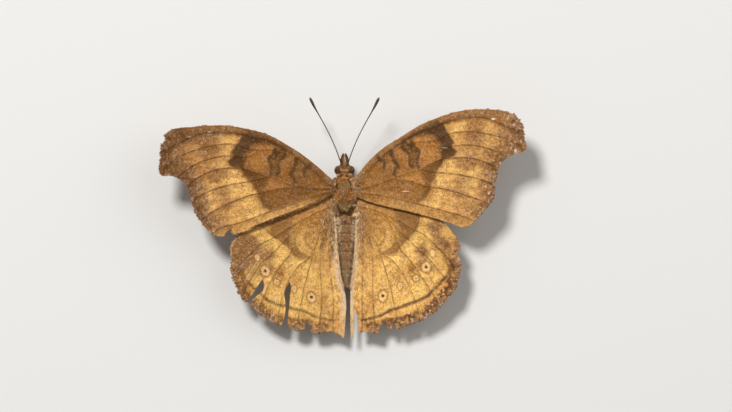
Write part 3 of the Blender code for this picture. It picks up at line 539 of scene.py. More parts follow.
def margin_band(points, rim):
    """The broken band between the wavy line and the margin."""
    x, y = points.T
    zone = ramp(rim, 0.1, 0.4) * (1 - ramp(rim, 1.5, 2.3)) * ramp(-y, 7.0, 10.0) * ramp(x, 2.6, 4.0)
    core = line_on(points, smooth_line(MARGIN_BAND, 0.4), 0.25, 0.6)
    return zone * ramp(mottle(points, 0.42, 23) + 0.45 * core, 0.50, 0.85)


def hindwing_tints(points, rim, veins):
    """The hindwing's tints at places in the right wing's plan."""
    x, y = points.T
    wobble, low = wobble_at(points, 5), ramp(-y, 8.6, 11.5)
    beyond = depth_in(points, [*HIND_MEDIAL, *BEYOND_MEDIAL]) + 0.4 * wobble
    field = np.maximum(ramp(beyond, -0.1 - 2.5 * low, 0.15 + 1.2 * low), 0.9 * ramp(-y, 8.6, 12.0))
    streaks = ramp(rays(points, "hind", 26.0, 22), 0.45, 0.8)
    wavy, band = wavy_line(points), margin_band(points, rim)
    dark = np.max([hindwing_dark(points, field, low, streaks), 0.30 * wavy, 0.35 * band], axis=0)
    field = np.maximum(field, 0.5 * blobs(points, HIND_GLOWS))
    # Clouds of the pattern, the first two partly painted shadow of the forewing
    clouds = blobs(points, HIND_CLOUDS_AND_SHADE)
    maroon = np.maximum(0.8 * wavy, 0.85 * band) + 0.30 * patches(points, 0.6, 30, 0.55, 0.85)
    maroon = np.maximum(maroon, 0.50 * clouds * patches(points, 0.4, 27, 0.35, 0.65))
    taupe = 0.95 * ramp(depth_in(points, TAUPE_PATCH), -0.7, 0.35) * (1 - field)
    taupe = taupe + clouds * (0.7 + 0.6 * streaks)
    taupe = taupe + 0.5 * patches(points, 0.8, 36, 0.5, 0.9) * low * (1 - ramp(x, 3.0, 6.0))
    orange = 0.9 * blobs(points, HIND_EMBERS) + 0.25 * (1 - field) * streaks
    orange = orange + 0.1 * low * (1 - ramp(x, 3.0, 8.0))
    orange = orange + 0.35 * field * patches(points, 1.2, 39, 0.45, 0.85)
    outer = gap_to(points, HIND_OUTER)
    pale = field * (0.95 - 0.3 * ramp(outer, 4.2, 2.8) - 0.5 * ramp(outer, 2.6, 1.8)) * (1 - 0.6 * clouds)
    pale = pale * (0.5 + 0.5 * rays(points, "hind", 34.0, 24) + 0.6 * mottle(points, 0.9, 34))
    pale = pale * ramp(x + 0.4 * y, -11.0, -1.0)
    hem = (1 - ramp(rim + wobble, 0.4, 1.3)) * ramp(-y, 5.0, 8.0) * ramp(x, 2.5, 5.0)
    vein = np.exp(-(veins / 0.10) ** 2) * (0.20 + 0.30 * field) * (0.6 + 0.7 * mottle(points, 0.8, 17))
    return {"field": field, "pale": pale, "dark": dark, "costa": np.zeros(len(points)), "orange": orange,
            "hem": hem, "taupe": taupe, "maroon": maroon, "vein": vein}


outside = hindwing_tints(np.array([(10.0, -16.0)]), np.array([4.0]), np.array([1.0]))
print("in the hindwing's pale half:", {tint: round(float(value[0]), 2) for tint, value in outside.items()})

# %% [markdown]
# ## Eyespots, wear and the left wings' own tones
# An eyespot is a brown ring round a pale disc, often with a dark pupil. A real butterfly's two sides match in
# pattern but not in wear or in light, so flecks, scratches and the pale fold differ from side to side, and
# the left wings get tones of their own: painted shade of a darker brown, and shifts of the tints both sides
# share.
# wing_tints() puts a whole wing together, and scale_shades() makes single scales lighter or darker than
# their place.

# %% Eyespots, flecks and the folded edge
def eyespot_tints(points):
    """(ring, disc, pupil) of the hindwing's row of eyespots."""
    ring, disc, pupil = np.zeros((3, len(points)))
    unevenness = 0.35 * (mottle(points, 0.4, 16) - 0.5)
    for x, y, wide, high, pupil_radius in EYESPOTS:
        away = np.hypot((points[:, 0] - x) / wide, (points[:, 1] - y) / high) + unevenness
        ring = np.maximum(ring, 0.70 * (1 - ramp(np.abs(away - 1.15), 0.08, 0.40)))
        disc = np.maximum(disc, 0.85 * (1 - ramp(away, 0.80, 1.08)))
        if pupil_radius:
            from_middle = np.hypot(points[:, 0] - x, points[:, 1] - y)
            pupil = np.maximum(pupil, 1 - ramp(from_middle, pupil_radius, pupil_radius + 0.12))
    return ring, disc, pupil


def worn_white(pair, side, points):
    """The white of flecks and scratches."""
    flecks = [ramp(1.5 - np.hypot((points[:, 0] - x) / wide, (points[:, 1] - y) / high), 0, 0.7)
              for x, y, wide, high in FLECKS[pair, side]]
    scratches = [0.55 * line_on(points, line, 0.02, 0.07) for line in SCRATCHES.get((pair, side), [])]
    return np.max([np.minimum(1, sum(flecks)), *scratches], axis=0)


def fold_strip(side, points):
    """The pale strip of the hindwing's inner edge, where it bends down beside the abdomen."""
    edge = gap_to(points, smooth_line(HIND_FOLD, 0.8))
    wide = 0.5 if side == "right" else 0.75
    return (1 - ramp(edge, 0.6 * wide, 1.3 * wide)) * (1 - 0.5 * ramp(-points[:, 1], 17.0, 21.0))


print("white on a scratch:", worn_white("hind", "left", np.array([(16.1, -8.6)])).round(2))


# %% Tones and painted shade of the left wings
CLOUD_ROW = [(x, y, 1.3 * wide, 1.3 * high, 0.5) for x, y, wide, high, _ in FORE_CLOUDS[:6]]
# Where the left forewing's painted shade is deeper: x, y, half width, half height, strength
LEFT_SHADE_CORNERS = [(25.0, 13.2, 3.0, 1.5, 1.0), (24.2, 1.4, 1.0, 3.0, 1.0)]


def left_fore_tones(tints, points, rim):
    """(tints, painted shade): a row of dim clouds, a duller tip and margin, a clearer strip at the rear,
    and a wider dark line on the rear edge, partly painted shadow.
    """
    x, y = points.T
    row = blobs(points, CLOUD_ROW)
    beyond = ramp(x + 0.25 * y, 22.5, 25.5)
    thin = ramp(rays(points, "fore", 52.0, 41), 0.45, 0.8)
    far = beyond * (0.4 + 0.9 * thin)
    rear = gap_to(points, smooth_line(FORE_REAR, 0.8))
    strip = rear_strip(points, rear)
    outer = (1 - ramp(rim + 0.8 * mottle(points, 0.6, 40), 2.0, 4.2)) * ramp(x, 17.0, 22.0)
    pale = tints["pale"] + 0.3 * tints["field"] * (1 - tints["taupe"])
    pale = pale * (1 - 0.7 * beyond) * (1 - 0.8 * np.clip(row, 0, 1)) + 0.35 * strip * ramp(x, 5.0, 8.0)
    field = np.maximum(tints["field"], 0.9 * strip)
    orange = tints["orange"] + tints["field"] * (0.40 * row + 0.40 * far) + 0.15 * strip
    # A wider dark line on the left rear edge, partly painted shadow of the gap between the wings
    dark = np.maximum(tints["dark"], rear_edge_and_shadow(points, rear, 0.30, 14.0))
    # Painted shade: most on the brown parts, tip, corners and thin rays; less on the rear strip and darkest
    # marks
    dusk = 0.36 - 0.36 * field - 0.15 * orange
    dusk = dusk + 0.25 * (ramp(x, 24.0, 28.0) + blobs(points, LEFT_SHADE_CORNERS))
    dusk = (dusk + 0.22 * field * thin) * (1 - 0.7 * strip) * (1 - ramp(dark, 0.7, 0.9))
    return {**tints, "pale": pale, "field": field, "orange": orange, "dark": dark,
            "taupe": tints["taupe"] + tints["field"] * (0.35 * row + 0.15 * far),
            "hem": np.maximum(tints["hem"], 0.7 * outer)}, dusk


def left_hind_tones(tints, points, rim):
    """(tints, painted shade): a light patch near the root, more clouds along the front and less maroon."""
    lights, clouds = blobs(points, LEFT_LIGHTS), blobs(points, LEFT_CLOUDS)
    worn = ramp(rays(points, "hind", 44.0, 28), 0.3, 0.7)
    field = np.maximum(tints["field"], lights)
    taupe = np.minimum(tints["taupe"] * (1 - lights) + clouds * (0.5 + 0.6 * worn), 0.8)
    # The second value is painted shade over the wing beyond its root, a little more under the clouds
    return {**tints, "field": field, "pale": np.maximum(tints["pale"] + 0.15 * field, 0.5 * lights),
            "taupe": taupe, "maroon": np.maximum(0.7 * tints["maroon"], 0.45 * clouds * worn)
            }, 0.08 * clouds + 0.13 * ramp(points[:, 0], 2.0, 5.0)


def wing_tints(pair, side, points, rim):
    """Every tint of a wing, from 0 to 1, by name."""
    read_at = points
    if side == "left":
        x, y, wide, high, way = LEFT_SHIFTS[pair]
        read_at = points + blobs(points, [(x, y, wide, high, 1.0)])[:, None] * np.array(way)
    tints = {"fore": forewing_tints, "hind": hindwing_tints}[pair](read_at, rim, vein_gap(points, pair))
    dusk, none = np.zeros((2, len(points)))
    if side == "left":
        tints, dusk = {"fore": left_fore_tones, "hind": left_hind_tones}[pair](tints, points, rim)
    ring, disc, pupil = eyespot_tints(points) if pair == "hind" else (none, none, none)
    fold = 0.95 * fold_strip(side, points) if pair == "hind" else none
    # The left wings' painted shade, made uneven by broad grain; the right wings get none
    tints = {**tints, "ring": ring, "disc": disc, "pupil": pupil, "fold": fold,
             "white": worn_white(pair, side, points), "dusk": dusk * (0.6 + 0.8 * grain(points, 2.0, 9))}
    return {name: np.clip(value, 0, 1) for name, value in tints.items()}


# The last tint is the left wings' painted shade
TINTS = ("field", "pale", "orange", "taupe", "costa", "hem", "maroon", "fold", "dark", "ring", "disc",
         "pupil", "vein", "white", "dusk")
print("tints:", ", ".join(TINTS))


# %% Each scale's own shade
def scale_shades(pair, points, tints, rng):
    """(tints, shade): each scale lighter or darker than its place, some nearly black and some worn white."""
    count = len(points)
    in_patch = ramp(depth_in(points, TAUPE_PATCH), -0.2, 0.6) * (pair == "hind")
    calm = 1 - 0.65 * in_patch - 0.5 * tints["disc"]
    rough = 1 + 0.8 * np.clip(tints["hem"] + tints["maroon"], 0, 1)
    own = 0.22 * rng.normal(0, 1, count) + 0.42 * rough * (mottle(points, 0.36, 31) - 0.5)
    own = own + 0.5 * (grain(points, 0.19, 32) - 0.5) + 0.15 * (mottle(points, 1.3, 35) - 0.5)
    above = calm * own
    # Bright scales are fewer on dark marks and under the left wings' painted shade
    lights = 1 - 0.7 * np.maximum(tints["dark"], tints["dusk"])
    shade = 0.5 + np.where(above > 0, above * lights, above)
    worn = {"fore": tints["hem"] + 0.35 * tints["taupe"] + 0.10 * tints["costa"] + 0.01,
            "hind": 0.8 * tints["hem"] + 0.4 * tints["taupe"] * tints["field"] + 0.01}[pair]
    clumps = ramp(grain(points, 0.30, 33), 0.55, 0.95)
    pepper = rng.random(count) < 0.16 * (calm > 0.7)
    bare = rng.random(count) < 0.5 * np.clip(worn, 0, 1) * clumps
    speck = np.maximum(tints["maroon"], rng.uniform(0.3, 0.9, count))
    changed = {"maroon": np.where(pepper, speck, tints["maroon"]),
               "white": np.where(bare, rng.uniform(0.35, 0.9, count), tints["white"])}
    return {**tints, **changed}, np.clip(shade, 0.05, 1.15)


in_disc = wing_tints("hind", "right", np.array([(13.8, -11.3)]), np.array([5.0]))
shown, shade = scale_shades("hind", np.array([(13.8, -11.3)]), in_disc, np.random.default_rng(1))
print("a scale at the second eyespot's middle: pupil", shown["pupil"].round(2), "shade", shade.round(2))

# %% [markdown]
# ## The wing sheets
# A real wing is two layers of membrane thinner than paper, stiffened by veins. Here each is a thin closed
# sheet: its plan is filled with fine triangles by a Delaunay fill, once for the top and more coarsely for the
# underside, and the two are stitched along the outline. The height comes from the shared surface, with
# the veins standing up and the membrane sinking between them. Every corner carries the tints as named values.


# %% A wing's outline, and the way back to the right plan
ROOT_EDGE = {"fore": [(1.2, 0.4), (1.1, 2.2), (1.4, 3.6)], "hind": [(1.3, -2.0), (1.2, 1.3)]}


def wing_outline(pair, side):
    """The outline in this side's plan, closed at its root under the body's hair."""
    runs, _, landmarks = PLANS[pair]
    outline = np.vstack([smooth_line(run, OUTLINE_STEP)[:-1] for run in runs] + [[runs[-1][-1]]])
    if side == "left":
        outline = plan_carrier(landmarks)(outline)
    for notch in WEAR[pair, side]:
        outline = wear_away(outline, notch)
    return np.vstack([outline, ROOT_EDGE[pair]])


def margin_line(pair, side, first=0):
    """The margin as it was before it wore, from one of its runs on."""
    line = np.vstack([smooth_line(run, OUTLINE_STEP) for run in PLANS[pair][0][first:]])
    return plan_carrier(PLANS[pair][2])(line) if side == "left" else line


def to_right_plan(pair, side):
    """A function that takes places in this side's plan to the same places in the right wing's."""
    if side == "right":
        return lambda points: points
    landmarks = PLANS[pair][2]
    carry, guess = plan_carrier(landmarks), plan_carrier([(left, right) for right, left in landmarks])

    def back(points):
        found = guess(points)
        for _ in range(3):
            found = found + points - carry(found)
        return found

    return back


print("points round the torn left hindwing:", len(wing_outline("hind", "left")))


# %% Fill and height
# The height of an even triangle, as a share of its side
ROW_SHARE = 0.866
# How far from its rear edge the forewing's droop begins
REAR_REACH = 3.5


def fill_plan(outline, spacing):
    """(places, triangles, index of each outline point) of a fill with even triangles."""
    low, high = outline.min(0), outline.max(0)
    rows = []
    for k, y in enumerate(np.arange(low[1], high[1], spacing * ROW_SHARE)):
        x = np.arange(low[0] + spacing / 2 * (k % 2), high[0], spacing)
        rows.append(np.column_stack([x, np.full(len(x), y)]))
    grid = np.vstack(rows)
    grid = grid[inside(grid, outline)]
    grid = grid[gap_to(grid, outline[::2]) > 0.45 * spacing]
    places = [Vector(place) for place in np.vstack([outline, grid]).tolist()]
    inside_only, nearest_gap = 1, 0.004
    found = delaunay_2d_cdt(places, [], [list(range(len(outline)))], inside_only, nearest_gap)
    where = {start: k for k, starts in enumerate(found[3]) for start in starts}
    return np.array([tuple(v) for v in found[0]]), found[2], [where[k] for k in range(len(outline))]


def wing_rise(pair, plan, right_plan):
    """Height of the sheet's middle, with the veins' ridges and the sag between them, in mm."""
    veins = vein_gap(right_plan, pair)
    relief = VEIN_HEIGHT * np.exp(-(veins / VEIN_HALF_WIDTH) ** 2)
    relief = relief - PLEAT_DEPTH * ramp(veins, 0.0, PLEAT_REACH)
    if pair == "fore":
        rear = gap_to(right_plan, smooth_line(FORE_REAR, 0.6))
        relief = relief - REAR_DROOP * (1 - ramp(rear, 0.0, REAR_REACH))
    return sheet_height(plan[:, 0], plan[:, 1], LIFT[pair]) + relief


def in_row(side, plan, height):
    """Places in the row frame, in metres, from a side's plan and heights in mm."""
    x, y = (plan * (SIDES[side], 1) + PLAN_SHIFT).T
    return np.column_stack([x, y, height]) * MM


on_vein = np.array([FORE_VEINS[4][3]])
print("height on a forewing vein:", wing_rise("fore", on_vein, on_vein).round(2), "mm")


# %% Mesh objects that carry named values
def linked(name, data):
    """An object of some data, in the scene at the origin."""
    obj = bpy.data.objects.new(name, data)
    bpy.context.scene.collection.objects.link(obj)
    return obj


def mesh_object(name, places, faces, finish=None):
    """A smooth-shaded mesh object in the scene, with a material where one is given."""
    mesh = bpy.data.meshes.new(name)
    mesh.from_pydata(np.asarray(places).tolist(), [], faces)
    if finish:
        mesh.materials.append(finish)
    mesh.shade_smooth()
    return linked(name, mesh)


def add_values(mesh, values):
    """Stores named values on a mesh's points, numbers or vectors."""
    for name, value in values.items():
        value = np.asarray(value, np.float32)
        kind, part = ("FLOAT", "value") if value.ndim == 1 else ("FLOAT_VECTOR", "vector")
        mesh.attributes.new(name, kind, "POINT").data.foreach_set(part, value.ravel())


print("each wing point will carry", len(TINTS) + 2, "values")


# %% One wing's closed sheet
TOP_SPACING, UNDER_SPACING = 0.14, 0.30


def stitched(outline, top, under, side):
    """Faces between the rims of the top and of the underside."""
    x, y = outline.T
    turns_left = np.sum(x * np.roll(y, -1) - np.roll(x, -1) * y) > 0
    faces = []
    for corners in zip(top, top[1:] + top[:1], under[1:] + under[:1], under):
        if len(set(corners)) == 4:
            faces.append(corners[::-1] if turns_left == (SIDES[side] > 0) else corners)
    return faces


def wing_sheet(pair, side, finish):
    """(sheet, outline, way back to the right plan) of one wing, its top finer than its underside."""
    outline, back = wing_outline(pair, side), to_right_plan(pair, side)
    places, faces, rims, plans = [], [], [], []
    for spacing, half in ((TOP_SPACING, WING_THICKNESS / 2), (UNDER_SPACING, -WING_THICKNESS / 2)):
        plan, triangles, rim = fill_plan(outline, spacing)
        first = sum(len(part) for part in plans)
        places.append(in_row(side, plan, wing_rise(pair, plan, back(plan)) + half))
        for a, b, c in triangles:
            (ax, ay), (bx, by), (cx, cy) = plan[a], plan[b], plan[c]
            turns_left = (bx - ax) * (cy - ay) - (by - ay) * (cx - ax) > 0
            b, c = (b, c) if turns_left == (SIDES[side] * half > 0) else (c, b)
            faces.append((first + a, first + b, first + c))
        rims.append([first + k for k in rim])
        plans.append(plan)
    faces += stitched(outline, *rims, side)
    sheet = mesh_object(f"{pair}wing_{side}_sheet", np.vstack(places), faces, finish)
    below = np.repeat([0.0, 1.0], [len(part) for part in plans])
    plan = np.vstack(plans)
    add_values(sheet.data, wing_tints(pair, side, back(plan), gap_to(plan, margin_line(pair, side)[::2])))
    add_values(sheet.data, {"under": below, "shade": np.full(len(plan), 0.5)})
    return sheet, outline, back


print("a triangle's side:", TOP_SPACING, "mm on top,", UNDER_SPACING, "mm below")

# %% [markdown]
# ## The wings' finish
# Wing colour is scales, each of one colour. The finish starts from the basal brown and lays the tints over
# it one after another, as a painter would, with the finest marks last. Noise breaks each tint up, and a
# random value per scale, named shade, makes it lighter or darker. A little sheen gives the dusty gloss of
# scales seen at a low angle.


# %% Nodes that lay tints over each other
def colour(red, green, blue):
    """A linear colour from the usual 0 to 255 screen values."""
    parts = [value / 255 for value in (red, green, blue)]
    return (*[v / 12.92 if v <= 0.04045 else ((v + 0.055) / 1.055) ** 2.4 for v in parts], 1.0)


def start_finish(name, settings):
    """(material, its node tree, its shader) with the shader's settings by name."""
    made = bpy.data.materials.new(name)
    made.use_nodes = True
    shader = made.node_tree.nodes["Principled BSDF"]
    for setting, value in settings.items():
        shader.inputs[setting].default_value = value
    return made, made.node_tree, shader


def socket_of(tree, name):
    """The output that reads a named value of the mesh."""
    node = tree.nodes.new("ShaderNodeAttribute")
    node.attribute_name = name
    return node.outputs["Fac"]


def feed(tree, slot_in, term):
    """Links a socket to an input, or sets the input to a number or a colour."""
    if isinstance(term, (int, float, tuple)):
        slot_in.default_value = term
    else:
        tree.links.new(term, slot_in)


def worked(tree, operation, *terms):
    """A Math node on sockets or numbers."""
    node = tree.nodes.new("ShaderNodeMath")
    node.operation = operation
    for slot_in, term in zip(node.inputs, terms):
        feed(tree, slot_in, term)
    return node.outputs[0]


def laid_over(tree, below, above, amount):
    """above over below by an amount: each is a socket or a colour."""
    node = tree.nodes.new("ShaderNodeMix")
    node.data_type = "RGBA"
    for index, term in ((0, amount), (6, below), (7, above)):
        feed(tree, node.inputs[index], term)
    return node.outputs[2]


def noise(tree, scale, detail=3.0):
    """Noise over the object's own coordinates: scale counts its waves to the metre."""
    where, node = tree.nodes.new("ShaderNodeTexCoord"), tree.nodes.new("ShaderNodeTexNoise")
    node.inputs["Scale"].default_value = scale
    node.inputs["Detail"].default_value = detail
    tree.links.new(where.outputs["Object"], node.inputs["Vector"])
    return node.outputs["Fac"]


def bumped(tree, shader, height, strength, distance):
    """Small bumps on a shader, of a height from 0 to 1 times a distance in metres."""
    bump = tree.nodes.new("ShaderNodeBump")
    bump.inputs["Strength"].default_value = strength
    bump.inputs["Distance"].default_value = distance
    tree.links.new(height, bump.inputs["Height"])
    tree.links.new(bump.outputs["Normal"], shader.inputs["Normal"])


def lit_by(tree, shader, paint, value):
    """Gives the shader a paint made lighter or darker by a value."""
    hue = tree.nodes.new("ShaderNodeHueSaturation")
    tree.links.new(paint, hue.inputs["Color"])
    tree.links.new(value, hue.inputs["Value"])
    tree.links.new(hue.outputs[0], shader.inputs["Base Color"])


print("the forewing's brown, linear:", [round(v, 3) for v in colour(162, 108, 44)])

# %% The finish of a forewing and of a hindwing
WING_COLOURS = {
    "fore": {"base": colour(162, 108, 44), "field": colour(198, 144, 80), "pale": colour(242, 190, 106)},
    "hind": {"base": colour(190, 133, 60), "field": colour(230, 168, 86), "pale": colour(255, 204, 112)},
}
MARK_COLOURS = {
    "orange": colour(188, 126, 58), "taupe": colour(146, 100, 50), "costa": colour(152, 104, 52),
    "hem": colour(152, 110, 64), "fold": colour(214, 186, 150), "dark": colour(50, 27, 2),
    "maroon": colour(110, 64, 36), "ring": colour(150, 92, 44), "disc": colour(238, 196, 130),
    "pupil": colour(58, 40, 16), "vein": colour(76, 42, 8), "white": colour(238, 214, 190),
    # The dark brown of the left wings' painted shade
    "dusk": colour(84, 48, 8),
}
UNDERSIDE, DEEP_SCALE, BRIGHT_SCALE = colour(140, 104, 76), colour(102, 57, 16), colour(252, 222, 186)


def wing_finish(pair):
    """The scales' finish, read from the tints."""
    finish, tree, shader = start_finish(f"{pair}wing_scales", {
        "Roughness": 0.66, "Sheen Weight": 0.04, "Sheen Roughness": 0.45, "Specular IOR Level": 0.15})
    tones = {**WING_COLOURS[pair], **MARK_COLOURS}
    paint = tones["base"]
    # Among the tints is painted shade: the left wings' shade, and the forewing's rear line within dark
    for tint in TINTS:
        paint = laid_over(tree, paint, tones[tint], socket_of(tree, tint))
    paint = laid_over(tree, paint, UNDERSIDE, worked(tree, "MULTIPLY", socket_of(tree, "under"), 0.6))
    shade = socket_of(tree, "shade")
    deep = worked(tree, "MAXIMUM", worked(tree, "SUBTRACT", 0.5, shade), 0.0)
    bright = worked(tree, "MAXIMUM", worked(tree, "SUBTRACT", shade, 0.5), 0.0)
    paint = laid_over(tree, paint, DEEP_SCALE, worked(tree, "MULTIPLY", deep, 1.15))
    paint = laid_over(tree, paint, BRIGHT_SCALE, worked(tree, "MULTIPLY", bright, 0.42))
    speckle = worked(tree, "MULTIPLY", worked(tree, "SUBTRACT", noise(tree, 7000.0, 4.0), 0.5), 0.7)
    lit_by(tree, shader, paint, worked(tree, "ADD", 1.02, speckle))
    bumped(tree, shader, noise(tree, 9000.0, 2.0), 0.5, 0.00003)
    return finish


wing_finishes = {pair: wing_finish(pair) for pair in PLANS}
wings = {}
for side in SIDES:
    for pair in PLANS:
        sheet, outline, back = wing_sheet(pair, side, wing_finishes[pair])
        wings[pair, side] = (outline, back)
        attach(sheet, "root")
        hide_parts(f"{pair}wing_{side}")
        print(sheet.name, len(sheet.data.polygons), "faces")

# %% [markdown]
# ## One coat for everything that grows
# Scales, fringe and fur are the same idea: many copies of one small shape, rooted on a surface, each turned
# to the way the coat lies there. A Geometry Nodes tree does it for all of them. Its input is a mesh of bare
# points that carry an up direction, a lie, a size and a place on the skin's unwrap. It puts a tuft on each
# point, makes the copies real, gives each tuft its own small patch in the map OFBake, and sets the finish.

# %% The coat's tree
def coat_tree():
    """A tree that sets a tuft on each root, stood along 'up' and laid along 'lie'."""
    tree = bpy.data.node_groups.new("coat", "GeometryNodeTree")
    face, nodes = tree.interface, tree.nodes
    for label, kind in (("Roots", "Geometry"), ("Tuft", "Object"), ("Length", "Float"), ("Width", "Float"),
                        ("Lift", "Float"), ("Patch", "Float"), ("Finish", "Material")):
        face.new_socket(label, in_out="INPUT", socket_type="NodeSocket" + kind)
    face.new_socket("Coat", in_out="OUTPUT", socket_type="NodeSocketGeometry")
    enter, leave = nodes.new("NodeGroupInput"), nodes.new("NodeGroupOutput")

    def value(name, kind):
        node = nodes.new("GeometryNodeInputNamedAttribute")
        node.data_type = kind
        node.inputs["Name"].default_value = name
        return node.outputs["Attribute"]

    tuft, turn, size, scaled = (nodes.new(kind) for kind in (
        "GeometryNodeObjectInfo", "FunctionNodeAxesToRotation", "ShaderNodeCombineXYZ",
        "ShaderNodeVectorMath"))
    plant, real, store, finish = (nodes.new(kind) for kind in (
        "GeometryNodeInstanceOnPoints", "GeometryNodeRealizeInstances", "GeometryNodeStoreNamedAttribute",
        "GeometryNodeSetMaterial"))
    turn.primary_axis, turn.secondary_axis = "Z", "Y"
    scaled.operation = "SCALE"
    spread, shrink = nodes.new("ShaderNodeVectorMath"), nodes.new("ShaderNodeVectorMath")
    shrink.operation = "SCALE"
    store.data_type, store.domain = "FLOAT2", "CORNER"
    store.inputs["Name"].default_value = "OFBake"
    for start, end in (
        (enter.outputs["Tuft"], tuft.inputs["Object"]),
        (value("up", "FLOAT_VECTOR"), turn.inputs["Primary Axis"]),
        (value("lie", "FLOAT_VECTOR"), turn.inputs["Secondary Axis"]),
        (enter.outputs["Width"], size.inputs["X"]), (enter.outputs["Length"], size.inputs["Y"]),
        (enter.outputs["Lift"], size.inputs["Z"]),
        (size.outputs[0], scaled.inputs[0]), (value("size", "FLOAT"), scaled.inputs["Scale"]),
        (enter.outputs["Roots"], plant.inputs["Points"]),
        (tuft.outputs["Geometry"], plant.inputs["Instance"]),
        (turn.outputs[0], plant.inputs["Rotation"]), (scaled.outputs[0], plant.inputs["Scale"]),
        (plant.outputs[0], real.inputs[0]), (real.outputs[0], store.inputs["Geometry"]),
        (value("on_tuft", "FLOAT_VECTOR"), shrink.inputs[0]),
        (enter.outputs["Patch"], shrink.inputs["Scale"]),
        (shrink.outputs[0], spread.inputs[0]),
        (value("root_place", "FLOAT_VECTOR"), spread.inputs[1]),
        (spread.outputs[0], store.inputs["Value"]),
        (store.outputs["Geometry"], finish.inputs["Geometry"]),
        (enter.outputs["Finish"], finish.inputs["Material"]),
        (finish.outputs["Geometry"], leave.inputs["Coat"]),
    ):
        tree.links.new(start, end)
    return tree


COAT_TREE = coat_tree()
PATCH_SIZE = 0.003
print("the coat's tree has", len(COAT_TREE.nodes), "nodes")


# %% Tufts, roots and growing
def tuft_object(name, places, faces):
    """A small shape to copy, one unit long along Y, with its own flat map in 'on_tuft'."""
    tuft = mesh_object(name, places, faces)
    add_values(tuft.data, {"on_tuft": [(x + 0.5, y, 0) for x, y, z in places]})
    return tuft


def worked_mesh(obj):
    """An object's mesh with its modifiers worked out."""
    bpy.context.view_layer.update()
    return bpy.data.meshes.new_from_object(obj.evaluated_get(bpy.context.evaluated_depsgraph_get()))


def grow(obj, tree, wanted):
    """Runs a tree on an object, with the wanted inputs by name, and keeps the result as its mesh."""
    growth = obj.modifiers.new(tree.name, "NODES")
    growth.node_group = tree
    for item in tree.interface.items_tree:
        if item.in_out == "INPUT" and item.name in wanted:
            growth[item.identifier] = wanted[item.name]
    grown = worked_mesh(obj)
    obj.modifiers.clear()
    obj.data = grown
    return grown


def grow_coat(name, roots, directions, values, tuft, length, width, finish, lift=1.0):
    """A coat piece: roots in the row frame, directions up and lie, values by name, sizes in mm."""
    coat = mesh_object(name, roots, [])
    add_values(coat.data, {**directions, **values})
    grown = grow(coat, COAT_TREE, {"Tuft": tuft, "Length": length * MM, "Width": width * MM,
                                   "Lift": lift * length * MM, "Patch": PATCH_SIZE, "Finish": finish})
    for spent in ("up", "lie", "size", "root_place", "on_tuft"):
        grown.attributes.remove(grown.attributes[spent])
    triangles = sum(len(face.vertices) - 2 for face in grown.polygons)
    print(name, len(roots), "tufts,", triangles, "triangles")
    return coat


def unit(vectors):
    """Vectors of length one."""
    return vectors / np.maximum(np.linalg.norm(vectors, axis=1), 1e-9)[:, None]


def laid_flat(vectors, normals):
    """Directions of length one, with what stands along the normals taken out."""
    return unit(vectors - (vectors * normals).sum(1)[:, None] * normals)


# A scale: narrow at its stalk, widest past the middle, its rounded end lifted a little
scale_tuft = tuft_object("one_scale", [(-0.2, 0, 0), (0.2, 0, 0), (0.5, 0.6, 0.06), (0.36, 0.95, 0.12),
                                       (-0.36, 0.95, 0.12), (-0.5, 0.6, 0.06)],
                         [(0, 1, 2, 5), (5, 2, 3, 4)])
print("a scale has", len(scale_tuft.data.polygons), "faces")

# %% [markdown]
# ## Scales over the wings
# The scales sit in rows like roof tiles, their ends towards the margin. Real ones are a tenth of a
# millimetre long. These are twice that, and still count over a hundred thousand. Each is rooted at the
# sheet's own height, tips up slightly, and takes the pattern's tints at its root, so the pattern is made
# of scales of one colour each, as the real one is. Longer ones along the outer margin are its fringe.

# %% Places for the scales
SCALE_LENGTH, SCALE_WIDTH = 0.21, 0.13
ROW_STEP = 0.105
BELOW_COARSER, FRINGE_LONGER, BELOW_LARGER = 2.6, 1.3, 2.2


def wing_slope(pair, side, plan, back, reach=0.03):
    """(heights, outward normals) of the sheet's middle in the row frame."""
    middle = wing_rise(pair, plan, back(plan))
    slopes = [(wing_rise(pair, plan + step, back(plan + step)) - middle) / reach
              for step in ((reach, 0), (0, reach))]
    return middle, unit(np.column_stack([-slopes[0] * SIDES[side], -slopes[1], np.ones(len(plan))]))


def scale_roots(outline, rng, step):
    """Jittered rows of places inside the outline."""
    low, high = outline.min(0), outline.max(0)
    rows = np.arange(low[1], high[1], step)
    x, y = np.meshgrid(np.arange(low[0], high[0], step), rows)
    x = x + (np.arange(len(rows))[:, None] % 2) * step / 2
    places = np.column_stack([x.ravel(), y.ravel()]) + rng.uniform(-0.3, 0.3, (x.size, 2)) * step
    places = places[inside(places, outline)]
    return places[gap_to(places, outline[::2]) > 0.12]


def fringe_roots(pair, side, rng):
    """(places, ways outwards) of the fringe's scales, left out at the root and where the margin is torn."""
    outline = wings[pair, side][0]
    ends = np.vstack([outline[1:], outline[:1]])
    hem = outline + rng.uniform(-0.04, 0.04, outline.shape)
    out = unit(np.column_stack([ends[:, 1] - outline[:, 1], outline[:, 0] - ends[:, 0]]))
    out = np.where(inside(outline + 0.08 * out, outline)[:, None], -out, out)
    whole = gap_to(outline, margin_line(pair, side, 1)) < 0.05
    kept = (gap_to(hem, [(0, 3.9), (0, -2.6)]) > 3.4) & whole
    hem = np.repeat(hem[kept] - 0.28 * out[kept], 2, 0)
    return hem + rng.uniform(-0.05, 0.05, hem.shape), np.repeat(out[kept], 2, 0)


print("scales in a row:", round(1 / ROW_STEP, 1), "to the millimetre")


# %% Scale coats
ATLAS_SIZE = 34.0
ATLAS_START = {"fore": 6.5, "hind": 25.0}


